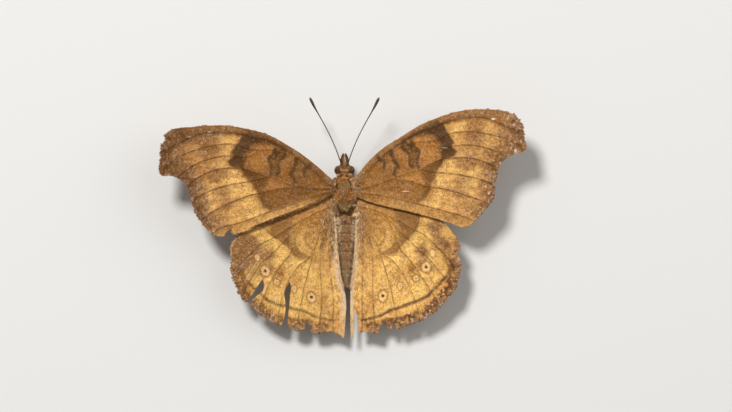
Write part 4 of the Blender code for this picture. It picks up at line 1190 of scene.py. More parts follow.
def atlas_place(pair, plan):
    """Where places of a wing's plan lie on its unwrapped skin, from 0 to 1."""
    x, y = (plan / ATLAS_SIZE).T
    return np.column_stack([0.02 + 0.46 * x, 0.9 * (y + ATLAS_START[pair] / ATLAS_SIZE), np.zeros(len(plan))])


def scale_coat(pair, side, seed):
    """The scales of one wing, above and below, and its fringe."""
    outline, back = wings[pair, side]
    rng = np.random.default_rng(seed)
    top = scale_roots(outline, rng, ROW_STEP)
    below = scale_roots(outline, rng, BELOW_COARSER * ROW_STEP)
    hem, out = fringe_roots(pair, side, rng)
    plan = np.vstack([top, hem, below])
    fringe, under = slice(len(top), len(top) + len(hem)), slice(len(top) + len(hem), None)
    face = np.ones(len(plan))
    face[under] = -1
    middle, normal = wing_slope(pair, side, plan, back)
    lie = unit(plan - WING_ROOTS[pair] + rng.normal(0, 0.05, plan.shape))
    lie[fringe] = unit(out + 0.25 * rng.normal(0, 1, out.shape))
    lie = laid_flat(np.column_stack([lie[:, 0] * SIDES[side], lie[:, 1], np.zeros(len(lie))]), normal)
    rise = middle + face * (WING_THICKNESS / 2 - 0.01)
    size = rng.uniform(0.85, 1.2, len(plan))
    size[fringe] *= FRINGE_LONGER
    size[under] *= BELOW_LARGER
    on_skin = atlas_place(pair, plan) + (0, 0.02, 0)
    on_skin[under, 0] += 0.5
    right_plan = back(plan)
    tints = wing_tints(pair, side, right_plan, gap_to(plan, margin_line(pair, side)[::2]))
    values, shade = scale_shades(pair, right_plan, tints, rng)
    values.update(size=size, under=(face < 0).astype(float), shade=shade)
    directions = {"up": normal * face[:, None], "lie": lie, "root_place": on_skin}
    coat = grow_coat(f"{pair}wing_{side}_scales", in_row(side, plan, rise), directions, values, scale_tuft,
                     SCALE_LENGTH, SCALE_WIDTH, wing_finishes[pair])
    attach(coat, "root")
    return len(plan)


scales = [scale_coat(pair, side, 20 + number) for number, (pair, side) in enumerate(wings)]
print("scales in all:", sum(scales))

# %% [markdown]
# ## The body's skin
# Head, thorax and abdomen are one skin, so no seam shows where the neck and waist bend. Their rings are
# the solids' own stations less the coat's depth. The two shoulder flaps over the wing roots, the shield
# behind them and the collar are ovals sunk into it. A voxel remesh melts all of these closed forms into one
# surface. It works at a thousand times life size, because voxels of 0.085 mm would be too small for it.

# %% Stations of the body
COAT_DEPTH = 0.13
# Each station is (y, half width, half height, x and z of its middle)
THORAX = [(4.2, 0.80, 0.85, 0.0, 5.25), (3.95, 1.02, 1.10, 0.0, 5.25), (3.55, 1.12, 1.25, 0.0, 5.25),
          (3.3, 1.12, 1.30, 0.0, 5.25), (2.9, 1.45, 1.60, 0.0, 5.25), (2.2, 1.72, 1.90, 0.0, 5.3),
          (1.3, 1.86, 2.08, 0.0, 5.3), (0.3, 1.87, 2.10, 0.0, 5.3), (-0.6, 1.75, 1.95, 0.0, 5.25),
          (-1.3, 1.50, 1.70, 0.0, 5.2), (-1.8, 1.25, 1.45, 0.0, 5.15), (-2.2, 0.95, 1.10, 0.0, 5.1)]
HEAD = [(6.4, 0.35, 0.35, 0.0, 5.0), (6.2, 0.70, 0.75, 0.0, 5.05), (5.8, 0.95, 1.02, 0.0, 5.12),
        (5.3, 1.02, 1.15, 0.0, 5.2), (4.85, 0.98, 1.08, 0.0, 5.25), (4.5, 0.75, 0.80, 0.0, 5.25)]
NECK = [(4.9, 0.72, 0.78, 0.0, 5.25), (4.35, 0.70, 0.76, 0.0, 5.25), (3.8, 0.80, 0.86, 0.0, 5.25)]
WAIST = [(-1.6, 0.95, 1.10, 0.02, 5.1), (-2.4, 0.86, 0.95, 0.05, 5.0), (-3.2, 1.10, 1.15, 0.08, 4.9)]
ABDOMEN_START, ABDOMEN_END, ABDOMEN_SEGMENTS = -2.5, -14.8, 8
ABDOMEN_GIRTH = [(0.0, 1.0), (0.06, 1.28), (0.15, 1.48), (0.3, 1.42), (0.5, 1.24), (0.76, 0.96), (0.9, 0.70),
                 (0.97, 0.50), (1.0, 0.36)]
ABDOMEN_BEND = [(0.0, 0.05), (0.2, 0.28), (0.75, 0.40), (1.0, 0.36)]
ABDOMEN_DROP, ABDOMEN_HEIGHT = 1.35, 4.95
SEGMENT_PROFILE = [(0.0, 0.90), (0.08, 0.95), (0.25, 0.99), (0.6, 1.0), (0.9, 1.01), (0.97, 1.0)]
# Ovals, each (centre, radii); there are two shoulder flaps, left and right
SHOULDER_FLAP = ((1.28, 2.55, 6.15), (0.50, 1.30, 0.46))
SHIELD = ((0.0, -0.95, 6.62), (0.98, 0.72, 0.42))
COLLAR = ((0.0, 4.25, 5.72), (0.95, 0.35, 0.55))


def abdomen_station(share, swell):
    """One ring of the abdomen, a share of the way from the waist to the tip."""
    girth = float(np.interp(share, *zip(*ABDOMEN_GIRTH))) * swell
    x = float(np.interp(share, *zip(*ABDOMEN_BEND)))
    y = ABDOMEN_START + share * (ABDOMEN_END - ABDOMEN_START)
    return y, girth, girth * 1.04, x, ABDOMEN_HEIGHT - ABDOMEN_DROP * share


abdomen_rings = [abdomen_station((k + part) / ABDOMEN_SEGMENTS, swell)
                 for k in range(ABDOMEN_SEGMENTS) for part, swell in SEGMENT_PROFILE]
print("rings of the abdomen:", len(abdomen_rings))


# %% Ring bodies, limbs and ovals as plain lists
def around_ring(count):
    """The angles of a ring's points."""
    return np.linspace(0, 2 * math.pi, count, endpoint=False)


def rings_to_mesh(rings):
    """(places, faces) of a closed tube through rings of the same count, with a point at each end."""
    count, around = len(rings), len(rings[0])
    places = [tuple(p) for ring in rings for p in ring]
    faces = []
    for k in range(count - 1):
        for j in range(around):
            near, far = k * around + j, k * around + (j + 1) % around
            faces.append((near, far, far + around, near + around))
    for ring, first, turn in ((rings[0], 0, -1), (rings[-1], (count - 1) * around, 1)):
        places.append(tuple(np.mean(ring, axis=0)))
        middle = len(places) - 1
        for j in range(around):
            edge = (first + j, first + (j + 1) % around)
            faces.append((*edge[::turn], middle))
    return places, faces


def body_rings(stations, around=40, inset=COAT_DEPTH):
    """Oval rings across Y, from the front of the body to the rear."""
    angles = around_ring(around)
    return [np.column_stack([x + max(wide - inset, 0.05) * np.cos(angles), np.full(around, y),
                             z + max(high - inset, 0.05) * np.sin(angles)])
            for y, wide, high, x, z in stations]


def limb_rings(path, step, around=10, swell=None):
    """Round rings square to a smooth curve through (x, y, z, radius) points."""
    line = smooth_line(path, step)
    centres, radii = line[:, :3], line[:, 3]
    ways = unit(np.gradient(centres, axis=0))
    angles = around_ring(around)[:, None]
    side = np.cross(ways[0], (0.0, 0.3, 1.0))
    rings = []
    for k, (centre, way) in enumerate(zip(centres, ways)):
        side = side - (side @ way) * way
        side = side / np.linalg.norm(side)
        radius = max(radii[k] * (swell(k / (len(line) - 1)) if swell else 1.0), 0.004)
        rings.append(centre + radius * (np.cos(angles) * side + np.sin(angles) * np.cross(way, side)))
    return rings


def oval(centre, radii, around=20):
    """An ellipsoid as rings across Y."""
    x, y, z = centre
    stations = [(y + radii[1] * math.cos(turn), radii[0] * math.sin(turn), radii[2] * math.sin(turn), x, z)
                for turn in np.linspace(0.03, math.pi - 0.03, around)]
    return body_rings(stations, around, inset=0.0)


def joined(parts):
    """(places, faces) of several meshes as one."""
    places, faces = [], []
    for part_places, part_faces in parts:
        first = len(places)
        places += list(part_places)
        faces += [tuple(first + k for k in face) for face in part_faces]
    return places, faces


def mirrored(path, sign):
    """A limb's path on the right side, or its mirror image on the left."""
    return [(sign * x, *rest) for x, *rest in path]


def body_to_row(points):
    """Places in the row frame, in metres, from places in the plan's frame in mm."""
    return (np.asarray(points, float) + (*PLAN_SHIFT, 0.0)) * MM


print("an oval has", len(rings_to_mesh(oval(*SHIELD))[1]), "faces")

# %% One skin, remeshed
VOXEL = 0.085
FACE_DEPTH, ABDOMEN_DEPTH = 0.09, 0.06
forms = [body_rings(THORAX), body_rings(HEAD, inset=FACE_DEPTH), body_rings(NECK, inset=0.0),
         body_rings(WAIST, inset=0.0), body_rings(abdomen_rings, inset=ABDOMEN_DEPTH), oval(*SHIELD),
         oval(*COLLAR)]
for sign in SIDES.values():
    (x, y, z), radii = SHOULDER_FLAP
    forms.append(oval((sign * x, y, z), radii))
raw = mesh_object("raw_skin", *joined([rings_to_mesh(rings) for rings in forms]))
melt = raw.modifiers.new("melt", "REMESH")
melt.mode, melt.voxel_size = "VOXEL", VOXEL
ease = raw.modifiers.new("ease", "SMOOTH")
ease.factor, ease.iterations = 0.5, 4
melted = worked_mesh(raw)
bpy.data.objects.remove(raw)
skin_mm = np.array([v.co[:] for v in melted.vertices])
skin_faces = [tuple(face.vertices) for face in melted.polygons]
print("skin:", len(skin_mm), "points from", skin_mm.min(0).round(2), "to", skin_mm.max(0).round(2))

# %% [markdown]
# ## The body's colours
# The thorax is orange-brown at its sides with a greyer middle line, the shield is olive and the abdomen
# brown with violet-grey sides. A pale collar sits behind the head. As on the wings, soft ovals and ramps
# give each tint a value from 0 to 1 at every point, and skin and hair read the same ones.


# %% Body tints and fur finish
# Ovals of each tint on the back: x, y, half width, half height, strength
BACK_MARKS = {
    "gold": [(-1.05, 0.90, 0.42, 1.05, 1.0), (0.92, 0.85, 0.38, 0.95, 0.9), (-1.15, 3.50, 0.40, 0.30, 0.6),
             (1.10, 3.60, 0.35, 0.25, 0.4), (0.0, 4.10, 0.90, 0.28, 0.7), (-0.72, 4.70, 0.22, 0.25, 0.8),
             (0.68, 4.72, 0.22, 0.25, 0.8)],
    "grey": [(-0.10, 1.60, 0.35, 1.00, 0.45), (1.50, 1.60, 0.30, 1.60, 0.4), (-1.65, 1.20, 0.25, 1.40, 0.4),
             (0.0, -2.10, 0.90, 0.45, 0.5)],
    "olive": [(0.05, 2.75, 0.50, 0.65, 0.9), (0.0, -0.75, 0.95, 0.80, 0.8), (0.15, -4.70, 0.75, 0.50, 0.9)],
    "pale_fur": [(-0.10, 4.87, 0.80, 0.09, 0.9), (-0.98, 4.95, 0.11, 0.45, 0.8),
                 (0.80, 4.95, 0.11, 0.45, 0.8), (-0.80, 4.35, 0.22, 0.20, 0.7),
                 (0.75, 4.40, 0.25, 0.20, 0.7), (-1.72, 3.20, 0.20, 0.80, 0.8),
                 (1.52, 3.10, 0.20, 0.80, 0.8), (-0.16, 1.40, 0.08, 0.75, 0.5),
                 (-1.60, -0.60, 0.45, 1.00, 0.5), (1.70, -0.50, 0.45, 0.35, 0.9),
                 (0.0, 6.95, 0.18, 0.80, 0.8), (0.36, -14.7, 0.60, 0.60, 1.0)],
    "dark_fur": [(-0.39, 4.30, 0.19, 0.17, 1.0), (0.28, 4.30, 0.19, 0.17, 1.0),
                 (-1.20, 2.60, 0.12, 0.60, 0.9), (-1.38, 1.90, 0.22, 0.12, 0.8),
                 (1.02, 2.40, 0.13, 0.90, 0.9), (0.62, -1.95, 0.25, 0.20, 0.4),
                 (0.10, -3.60, 0.30, 0.28, 0.9), (-0.05, 5.50, 0.55, 0.45, 0.55),
                 (-0.45, 6.60, 0.12, 0.80, 0.8), (0.45, 6.60, 0.12, 0.80, 0.8),
                 (0.40, -13.2, 1.00, 0.22, 0.6)],
}
ABDOMEN_MIDDLE = 0.3
SHIELD_EDGE = [(-1.27, -0.32), (-0.90, -1.00), (-0.49, -1.52), (0.0, -1.80), (0.63, -1.38), (1.06, -0.60)]


def body_tints(points):
    """The body's tints at places in the plan's frame, in mm: belly is 1 on the abdomen, low underneath."""
    x, y, z = points.T
    flat, from_middle = points[:, :2], np.abs(x - ABDOMEN_MIDDLE)
    top = ramp(z, 4.9, 5.9)
    belly = 1 - ramp(y, -2.9, -2.2)
    marks = {tint: blobs(flat, ovals) * top for tint, ovals in BACK_MARKS.items()}
    marks["gold"] = marks["gold"] + 0.25 * grain(flat, 0.45, 12) * (1 - belly)
    marks["grey"] = marks["grey"] + 0.8 * belly * ramp(from_middle, 0.55, 1.1)
    marks["pale_fur"] = marks["pale_fur"] + 0.8 * belly * top * ramp(from_middle, 0.65, 1.0)
    joints = np.abs(((y - ABDOMEN_START) / (ABDOMEN_END - ABDOMEN_START) * ABDOMEN_SEGMENTS) % 1 - 0.02)
    marks["dark_fur"] = (marks["dark_fur"] + 0.7 * top * line_on(flat, SHIELD_EDGE, 0.04, 0.14)
                         + 0.18 * belly * np.exp(-(np.minimum(joints, 1 - joints) / 0.09) ** 2))
    tints = {**marks, "belly": belly, "low": 1 - ramp(z, 4.2, 5.4)}
    return {name: np.clip(value, 0, 1) for name, value in tints.items()}


print("marks on the back:", {tint: len(ovals) for tint, ovals in BACK_MARKS.items()})


# %% The finish of skin and fur
BROWN, ABDOMEN_BROWN = colour(152, 104, 54), colour(166, 116, 68)
FUR_COLOURS = {"gold": colour(224, 152, 60), "grey": colour(152, 122, 90), "olive": colour(144, 120, 62),
               "low": colour(168, 138, 100), "pale_fur": colour(234, 206, 164),
               "dark_fur": colour(76, 40, 22)}


def fur_finish(name, roughness, wave):
    """Brown fur, read from the body's tints; wave is the noise's scale."""
    finish, tree, shader = start_finish(name, {
        "Roughness": roughness, "Sheen Weight": 0.1, "Specular IOR Level": 0.3})
    paint = laid_over(tree, BROWN, ABDOMEN_BROWN, socket_of(tree, "belly"))
    for tint, shown in FUR_COLOURS.items():
        paint = laid_over(tree, paint, shown, socket_of(tree, tint))
    light = worked(tree, "ADD", worked(tree, "MULTIPLY", socket_of(tree, "shade"), 0.7),
                   worked(tree, "MULTIPLY", noise(tree, wave), 0.6))
    lit_by(tree, shader, paint, worked(tree, "ADD", light, 0.35))
    bumped(tree, shader, noise(tree, wave * 2), 0.6, 0.00004)
    return finish


skin_finish = fur_finish("body_skin", 0.75, 4500.0)
fur_coat_finish = fur_finish("body_fur", 0.6, 2500.0)
skin = mesh_object("body_skin", body_to_row(skin_mm), skin_faces, skin_finish)
add_values(skin.data, {**body_tints(skin_mm), "shade": np.full(len(skin_mm), 0.35)})
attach(skin, "root")
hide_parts("head", "thorax", "abdomen")
print("skin faces:", len(skin.data.polygons))

# %% [markdown]
# ## Fur
# Butterfly fur is hair-like scales: long and shaggy on the thorax and at the wing roots, short and flat on
# the abdomen, finest on the face. A tuft is three bent spikes, each a closed three-sided spine. Roots are
# drawn at random over the skin by area, leaning to the rear, and their length follows where they grow.


# %% Tuft of three hairs
def spike(root_x, end_x, lift, thick):
    """(places, faces) of one bent hair along Y."""
    rows = [(root_x, 0.0, 0.0, thick), ((root_x + end_x) / 2, 0.5, lift, 0.7 * thick)]
    places = [(x + size * math.cos(a), y, z + size * math.sin(a)) for x, y, z, size in rows
              for a in (0.5, 2.6, 4.7)]
    places.append((end_x, 1.0, 0.75 * lift))
    sides = [(j, (j + 1) % 3, 3 + (j + 1) % 3, 3 + j) for j in range(3)]
    tips = [(3 + j, 3 + (j + 1) % 3, 6) for j in range(3)]
    return places, sides + tips


MIDDLE_HAIR_RADIUS, OUTER_HAIR_RADIUS = 0.13, 0.11
hair_tuft = tuft_object("three_hairs", *joined([
    spike(-0.25, -0.42, 0.20, OUTER_HAIR_RADIUS), spike(0.0, 0.05, 0.30, MIDDLE_HAIR_RADIUS),
    spike(0.25, 0.45, 0.22, OUTER_HAIR_RADIUS)]))
print("a tuft has", len(hair_tuft.data.polygons), "faces")

# %% Fur over the skin
skin_area = np.array([face.area for face in melted.polygons])
skin_centre = np.array([face.center[:] for face in melted.polygons])
skin_normal = np.array([face.normal[:] for face in melted.polygons])


def fur_on_skin(name, chance, length_at, lie_at, seed, count, length, width, pale_share):
    """Tufts drawn over the skin: chance and length_at take places, lie_at gives the hair's way."""
    rng = np.random.default_rng(seed)
    weight = skin_area * np.clip(chance(skin_centre), 0, None)
    picked = rng.choice(len(skin_area), count, p=weight / weight.sum())
    normal = unit(skin_normal[picked] + rng.normal(0, 0.06, (count, 3)))
    roots = skin_centre[picked] + rng.normal(0, 0.03, (count, 3)) - 0.02 * normal
    lie = laid_flat(lie_at(roots, normal) + rng.normal(0, 0.16, (count, 3)), normal)
    around = np.arctan2(roots[:, 0], roots[:, 2] - 5.0) / (2 * math.pi) + 0.5
    on_skin = np.column_stack([around * 0.96 + 0.02, (roots[:, 1] + 15.5) / 24.0, np.zeros(count)])
    clumps = 0.9 * (grain(roots[:, :2], 0.22, 15) - 0.5)
    values = {**body_tints(roots), "shade": 0.5 + clumps + rng.normal(0.0, 0.22, count),
              "size": length_at(roots) * rng.uniform(0.75, 1.2, count)}
    silvery = (rng.random(count) < pale_share) * rng.uniform(0.3, 0.8, count)
    values["pale_fur"] = np.maximum(values["pale_fur"], silvery * (1 - values["dark_fur"]))
    coat = grow_coat(name, body_to_row(roots), {"up": normal, "lie": lie, "root_place": on_skin}, values,
                     hair_tuft, length, width, fur_coat_finish)
    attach(coat, "root")


print("skin area to cover:", round(float(skin_area.sum())), "square mm")


# %% Three coats of fur: how the hair lies, where it grows and how long it is
def ways_for(roots, x, y, z):
    """Directions, one for each root."""
    return np.column_stack([np.broadcast_to(part, len(roots)) for part in (x, y, z)])


def backwards(roots, normal):
    """Thorax hair points to the rear, a little outwards on top."""
    return ways_for(roots, 0.25 * np.sign(roots[:, 0]) * ramp(roots[:, 2], 5.0, 6.5), -1.0, -0.1)


def back_and_out(roots, normal):
    """Abdomen hair points to the rear and away from the middle line."""
    return ways_for(roots, 1.3 * normal[:, 0], -1.0, 0.2 * normal[:, 2])


def forwards_up(roots, normal):
    """Head hair points forwards, and beside the eyes outwards and up."""
    by_eye = ramp(np.abs(roots[:, 0]), 0.35, 0.6) * (1 - ramp(roots[:, 1], 5.3, 5.8))
    outwards = 0.3 * roots[:, 0] + 1.3 * by_eye * np.sign(roots[:, 0])
    return ways_for(roots, outwards, 0.5, 0.4 * np.sign(roots[:, 2] - 4.9) + 0.5 * by_eye)


def thorax_length(places):
    """Longer at the sides and over the waist."""
    return (0.5 + 0.4 * grain(places[:, :2], 0.6, 14) + 0.5 * ramp(np.abs(places[:, 0]), 1.0, 1.6)
            + 0.8 * ramp(-places[:, 1], 0.9, 1.7))


def abdomen_length(places):
    """Longer at the waist, at the sides and at the tip."""
    return (0.55 + 0.6 * (1 - ramp(places[:, 1], -14.6, -13.6)) + 0.5 * ramp(places[:, 1], -4.5, -2.4)
            + 0.9 * ramp(np.abs(places[:, 0] - ABDOMEN_MIDDLE), 0.7, 1.2))


def head_length(places):
    """Longer behind the eyes."""
    return (0.6 + 0.6 * (1 - ramp(places[:, 1], 4.6, 5.2))
            + 0.7 * ramp(np.abs(places[:, 0]), 0.35, 0.6) * (1 - ramp(places[:, 1], 5.2, 5.6)))


def on_thorax(places):
    """The share of hair between the waist and the neck."""
    return ramp(places[:, 1], -2.7, -2.1) * (1 - ramp(places[:, 1], 4.3, 4.6))


def on_abdomen(places):
    """The share of hair behind the waist."""
    return 1 - ramp(places[:, 1], -2.6, -2.0)


def on_head(places):
    """The share of hair before the neck."""
    return ramp(places[:, 1], 4.3, 4.6)


fur_on_skin("thorax_fur", on_thorax, thorax_length, backwards,
            seed=31, count=7400, length=0.75, width=0.14, pale_share=0.10)
fur_on_skin("abdomen_fur", on_abdomen, abdomen_length, back_and_out,
            seed=32, count=7400, length=0.60, width=0.137, pale_share=0.36)
fur_on_skin("head_fur", on_head, head_length, forwards_up,
            seed=33, count=3000, length=0.40, width=0.10, pale_share=0.05)
print("hair of the thorax lies along", backwards(np.array([(1.0, 0.0, 6.0)]), None).round(2))

# %% [markdown]
# ## Long hair on the wings
# Long soft hair covers the root of each wing, thinning out over the first few millimetres, and a pale fringe
# of it on the hindwing's inner edge leans against the abdomen and hides the gap. Both are the same tuft of
# three hairs, longer and thinner, on the wing sheets, and a share of them is pale, which looks silvery.


# %% Hair on a wing
ROOT_HAIR_WIDTH, ROOT_HAIR_LIFT = 0.08, 0.4


def wing_hair(kind, pair, side, plan, way, seed, length, gold, pale, light):
    """Long tufts on a wing's top at places in its plan; way is the hair's direction for the right side."""
    rng = np.random.default_rng(seed)
    back = wings[pair, side][1]
    count = len(plan)
    middle, normal = wing_slope(pair, side, plan, back)
    lie = laid_flat(np.asarray([way]) * (SIDES[side], 1, 1) + rng.normal(0, 0.16, (count, 3)), normal)
    spread = rng.random(count)
    values = {"belly": np.zeros(count), "low": np.zeros(count), "gold": gold * rng.uniform(0.2, 1.0, count),
              "grey": rng.uniform(0.0, 0.8, count), "olive": rng.uniform(0.0, 0.3, count),
              "pale_fur": np.where(spread < pale, rng.uniform(0.3, 0.9, count), 0.1),
              "dark_fur": np.where(spread > 0.93, 0.5, 0.0), "shade": rng.normal(light, 0.28, count),
              "size": rng.uniform(0.6, 1.2, count)}
    directions = {"up": normal, "lie": lie, "root_place": atlas_place(pair, plan)}
    coat = grow_coat(f"{kind}_{side}", in_row(side, plan, middle + 0.04), directions, values, hair_tuft,
                     length, ROOT_HAIR_WIDTH, fur_coat_finish, ROOT_HAIR_LIFT)
    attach(coat, "root")


print("a root hair is", round(2 * MIDDLE_HAIR_RADIUS * ROOT_HAIR_WIDTH, 3), "mm thick at its root")


# %% Hair at the wing roots and along the fold
FOLD_FRONT, FOLD_REAR, FOLD_STEP, FOLD_REACH = -2.2, -14.6, 0.03, 0.30


def root_places(pair, side, rng, count, low, high, reach):
    """Places on a wing between two corners, thinning out away from the body."""
    plan = rng.uniform(low, high, (count, 2))
    thinner = (1 - ramp(plan[:, 0] - low[0], 0.0, reach)) ** 1.5
    thinner = thinner * ramp(plan[:, 1] - low[1], 0.0, 0.7 * (high[1] - low[1]))
    plan = plan[rng.random(count) < thinner]
    return plan[inside(plan, wings[pair, side][0])]


def fold_places(side, rng):
    """Places along the hindwing's inner edge, three to a step."""
    fold = smooth_line([*HIND_FOLD, *ROOT_EDGE["hind"]], FOLD_STEP)
    fold = plan_carrier(HIND_LANDMARKS)(fold) if side == "left" else fold
    fold = np.repeat(fold[(fold[:, 1] < FOLD_FRONT) & (fold[:, 1] > FOLD_REAR)], 3, 0)
    across, along = rng.uniform(0.0, FOLD_REACH, len(fold)), rng.uniform(-0.1, 0.1, len(fold))
    return fold + np.column_stack([across, along])


for number, (side, fold_pale) in enumerate({"left": 0.75, "right": 0.95}.items()):
    rng = np.random.default_rng(60 + number)
    behind = root_places("hind", side, rng, 2000, (1.4, -11.0), (5.4, 0.4), 3.8)
    wing_hair("root_hair", "hind", side, behind, (0.25, -1.0, 0.0),
              seed=64 + number, length=1.0, gold=0.5, pale=0.25, light=0.85)
    ahead = root_places("fore", side, rng, 900, (1.3, -0.8), (4.4, 4.4), 2.6)
    wing_hair("shoulder_hair", "fore", side, ahead, (1.0, -0.5, 0.0),
              seed=66 + number, length=0.7, gold=0.2, pale=0.3, light=0.25)
    fold = fold_places(side, rng)
    wing_hair("fold_hair", "hind", side, fold, (-0.6, -1.0, 0.1),
              seed=68 + number, length=1.0, gold=0.1, pale=fold_pale, light=1.1)
    print(side, "hair:", len(behind), "behind the root,", len(ahead), "ahead,", len(fold), "on the fold")

# %% [markdown]
# ## Compound eyes
# Each eye is an oval of thousands of six-sided facets. A Geometry Nodes tree starts from an icosphere,
# takes its dual so that every point becomes a six-sided face, raises each face a hair's breadth and
# narrows it, and stretches the whole to the eye's radii. The part inside the head is deleted first.

# %% The facets' tree
EYE_CENTRE, EYE_RADII, EYE_INNER = (0.95, 5.05, 5.25), (0.80, 0.83, 1.0), 0.45


def facet_tree():
    """A tree that makes an oval of raised six-sided facets."""
    tree = bpy.data.node_groups.new("facets", "GeometryNodeTree")
    for label, kind, way in (("Geometry", "Geometry", "INPUT"), ("Facet Height", "Float", "INPUT"),
                             ("Facet Top", "Float", "INPUT"), ("Hidden Beyond", "Float", "INPUT"),
                             ("Radii", "Vector", "INPUT"), ("Centre", "Vector", "INPUT"),
                             ("Finish", "Material", "INPUT"), ("Eye", "Geometry", "OUTPUT")):
        tree.interface.new_socket(label, in_out=way, socket_type="NodeSocket" + kind)
    enter, leave, ball, dual, trim, raised, narrow, place, where, split, beyond, finish = (
        tree.nodes.new(kind) for kind in (
            "NodeGroupInput", "NodeGroupOutput", "GeometryNodeMeshIcoSphere", "GeometryNodeDualMesh",
            "GeometryNodeDeleteGeometry", "GeometryNodeExtrudeMesh", "GeometryNodeScaleElements",
            "GeometryNodeTransform", "GeometryNodeInputPosition", "ShaderNodeSeparateXYZ",
            "FunctionNodeCompare", "GeometryNodeSetMaterial"))
    ball.inputs["Subdivisions"].default_value = 5
    beyond.data_type, beyond.operation = "FLOAT", "LESS_THAN"
    for start, end in (
        (ball.outputs[0], dual.inputs[0]), (where.outputs[0], split.inputs[0]),
        (split.outputs["X"], beyond.inputs[0]), (enter.outputs["Hidden Beyond"], beyond.inputs[1]),
        (beyond.outputs[0], trim.inputs["Selection"]), (dual.outputs[0], trim.inputs[0]),
        (trim.outputs[0], raised.inputs["Mesh"]),
        (enter.outputs["Facet Height"], raised.inputs["Offset Scale"]),
        (raised.outputs["Mesh"], narrow.inputs[0]), (raised.outputs["Top"], narrow.inputs["Selection"]),
        (enter.outputs["Facet Top"], narrow.inputs["Scale"]),
        (narrow.outputs[0], place.inputs["Geometry"]), (enter.outputs["Radii"], place.inputs["Scale"]),
        (enter.outputs["Centre"], place.inputs["Translation"]), (place.outputs[0], finish.inputs["Geometry"]),
        (enter.outputs["Finish"], finish.inputs["Material"]), (finish.outputs[0], leave.inputs["Eye"]),
    ):
        tree.links.new(start, end)
    return tree


FACET_TREE = facet_tree()
print("the facets' tree has", len(FACET_TREE.nodes), "nodes")


# %% Eyes of real facets
FACET_HEIGHT, FACET_TOP, FACET_BED = 0.014, 0.72, 0.985


def eye_finish():
    """Dark glossy brown, in uneven patches."""
    finish, tree, shader = start_finish("eye_facets", {
        "Roughness": 0.22, "Coat Weight": 0.3, "Specular IOR Level": 0.3, "Coat Roughness": 0.15})
    feed(tree, shader.inputs["Base Color"],
         laid_over(tree, colour(46, 26, 8), colour(112, 70, 28), noise(tree, 900.0, 2.0)))
    bumped(tree, shader, noise(tree, 12000.0, 1.0), 0.2, 0.00001)
    return finish


facets = eye_finish()
for side, sign in SIDES.items():
    eye = mesh_object(f"eye_{side}_facets", [(0, 0, 0)], [], facets)
    middle = body_to_row(mirrored([EYE_CENTRE], sign))[0]
    radii = [radius * MM * FACET_BED for radius in (sign * EYE_RADII[0], *EYE_RADII[1:])]
    made = grow(eye, FACET_TREE, {
        "Facet Height": FACET_HEIGHT, "Facet Top": FACET_TOP, "Finish": facets, "Radii": tuple(radii),
        "Centre": tuple(middle), "Hidden Beyond": (EYE_INNER - EYE_CENTRE[0]) / EYE_RADII[0]})
    if sign < 0:
        made.flip_normals()
    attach(eye, "root")
    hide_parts(f"eye_{side}")
    print(eye.name, len(made.polygons), "faces")

# %% [markdown]
# ## Feelers, palps and tongue
# A butterfly's antenna is a thin stalk of some forty joints with a club at its end. The stalk is rings along
# a smooth curve whose radius swells at each joint. The two palps reach forward past the face like a short
# beak, furred with flat scales, and the tongue lies coiled beneath them, ribbed all along its length.

# %% Feelers and tongue
ANTENNA = [(0.45, 5.7, 5.75, 0.15), (0.68, 6.5, 6.05, 0.10), (1.35, 8.4, 6.65, 0.09),
           (2.2, 10.4, 7.2, 0.09), (3.25, 12.5, 7.8, 0.09), (4.48, 14.7, 8.45, 0.11),
           (5.1, 15.8, 8.75, 0.19), (5.5, 16.6, 8.95, 0.25), (5.75, 17.1, 9.08, 0.22),
           (5.88, 17.4, 9.15, 0.08)]
PALP = [(0.40, 5.8, 4.65, 0.18), (0.39, 6.4, 4.72, 0.22), (0.34, 6.9, 4.87, 0.20), (0.25, 7.35, 5.05, 0.14),
        (0.16, 7.7, 5.22, 0.04)]
COIL_CENTRE, COIL_RADII, COIL_TURNS, COIL_STEPS = (0.0, 6.0, 3.2), (0.92, 0.24), 2.0, 40
TONGUE_RADII = (0.13, 0.08)
MOUTH = (0.0, 5.85, 4.7, 0.14)


def swelling(count, depth):
    """A swell that dips once at each of a limb's joints."""
    return lambda share: 1 - depth * math.exp(-((((share * count) % 1) - 0.5) / 0.16) ** 2)


def horn_finish(name, low, high, wave):
    """Two browns in noise, with fine bumps, for feelers, tongue and legs."""
    finish, tree, shader = start_finish(name, {"Roughness": 0.45})
    feed(tree, shader.inputs["Base Color"], laid_over(tree, low, high, noise(tree, wave)))
    bumped(tree, shader, noise(tree, wave * 4), 0.5, 0.00002)
    return finish


def limb_object(name, parts, finish, slot_name, *nodes):
    """A finished limb: closed tubes, outward faces, in its place in the row frame."""
    places, faces = joined([rings_to_mesh(rings) for rings in parts])
    limb = mesh_object(name, body_to_row(places), faces, finish)
    shaped = bmesh.new()
    shaped.from_mesh(limb.data)
    bmesh.ops.recalc_face_normals(shaped, faces=shaped.faces)
    shaped.to_mesh(limb.data)
    shaped.free()
    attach(limb, "root")
    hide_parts(*nodes)
    print(name, len(limb.data.polygons), "faces")


def coiled_tongue():
    """The tongue's path: from the mouth down into a flat coil that narrows to its tip."""
    path = [MOUTH]
    for share in np.linspace(0, 1, COIL_STEPS + 1):
        turn = math.pi / 2 - share * COIL_TURNS * 2 * math.pi
        radius = COIL_RADII[0] + (COIL_RADII[1] - COIL_RADII[0]) * share
        thick = TONGUE_RADII[0] + (TONGUE_RADII[1] - TONGUE_RADII[0]) * share
        y, z = radius * math.cos(turn), radius * math.sin(turn)
        path.append((0.0, COIL_CENTRE[1] + y, COIL_CENTRE[2] + z, thick))
    return path


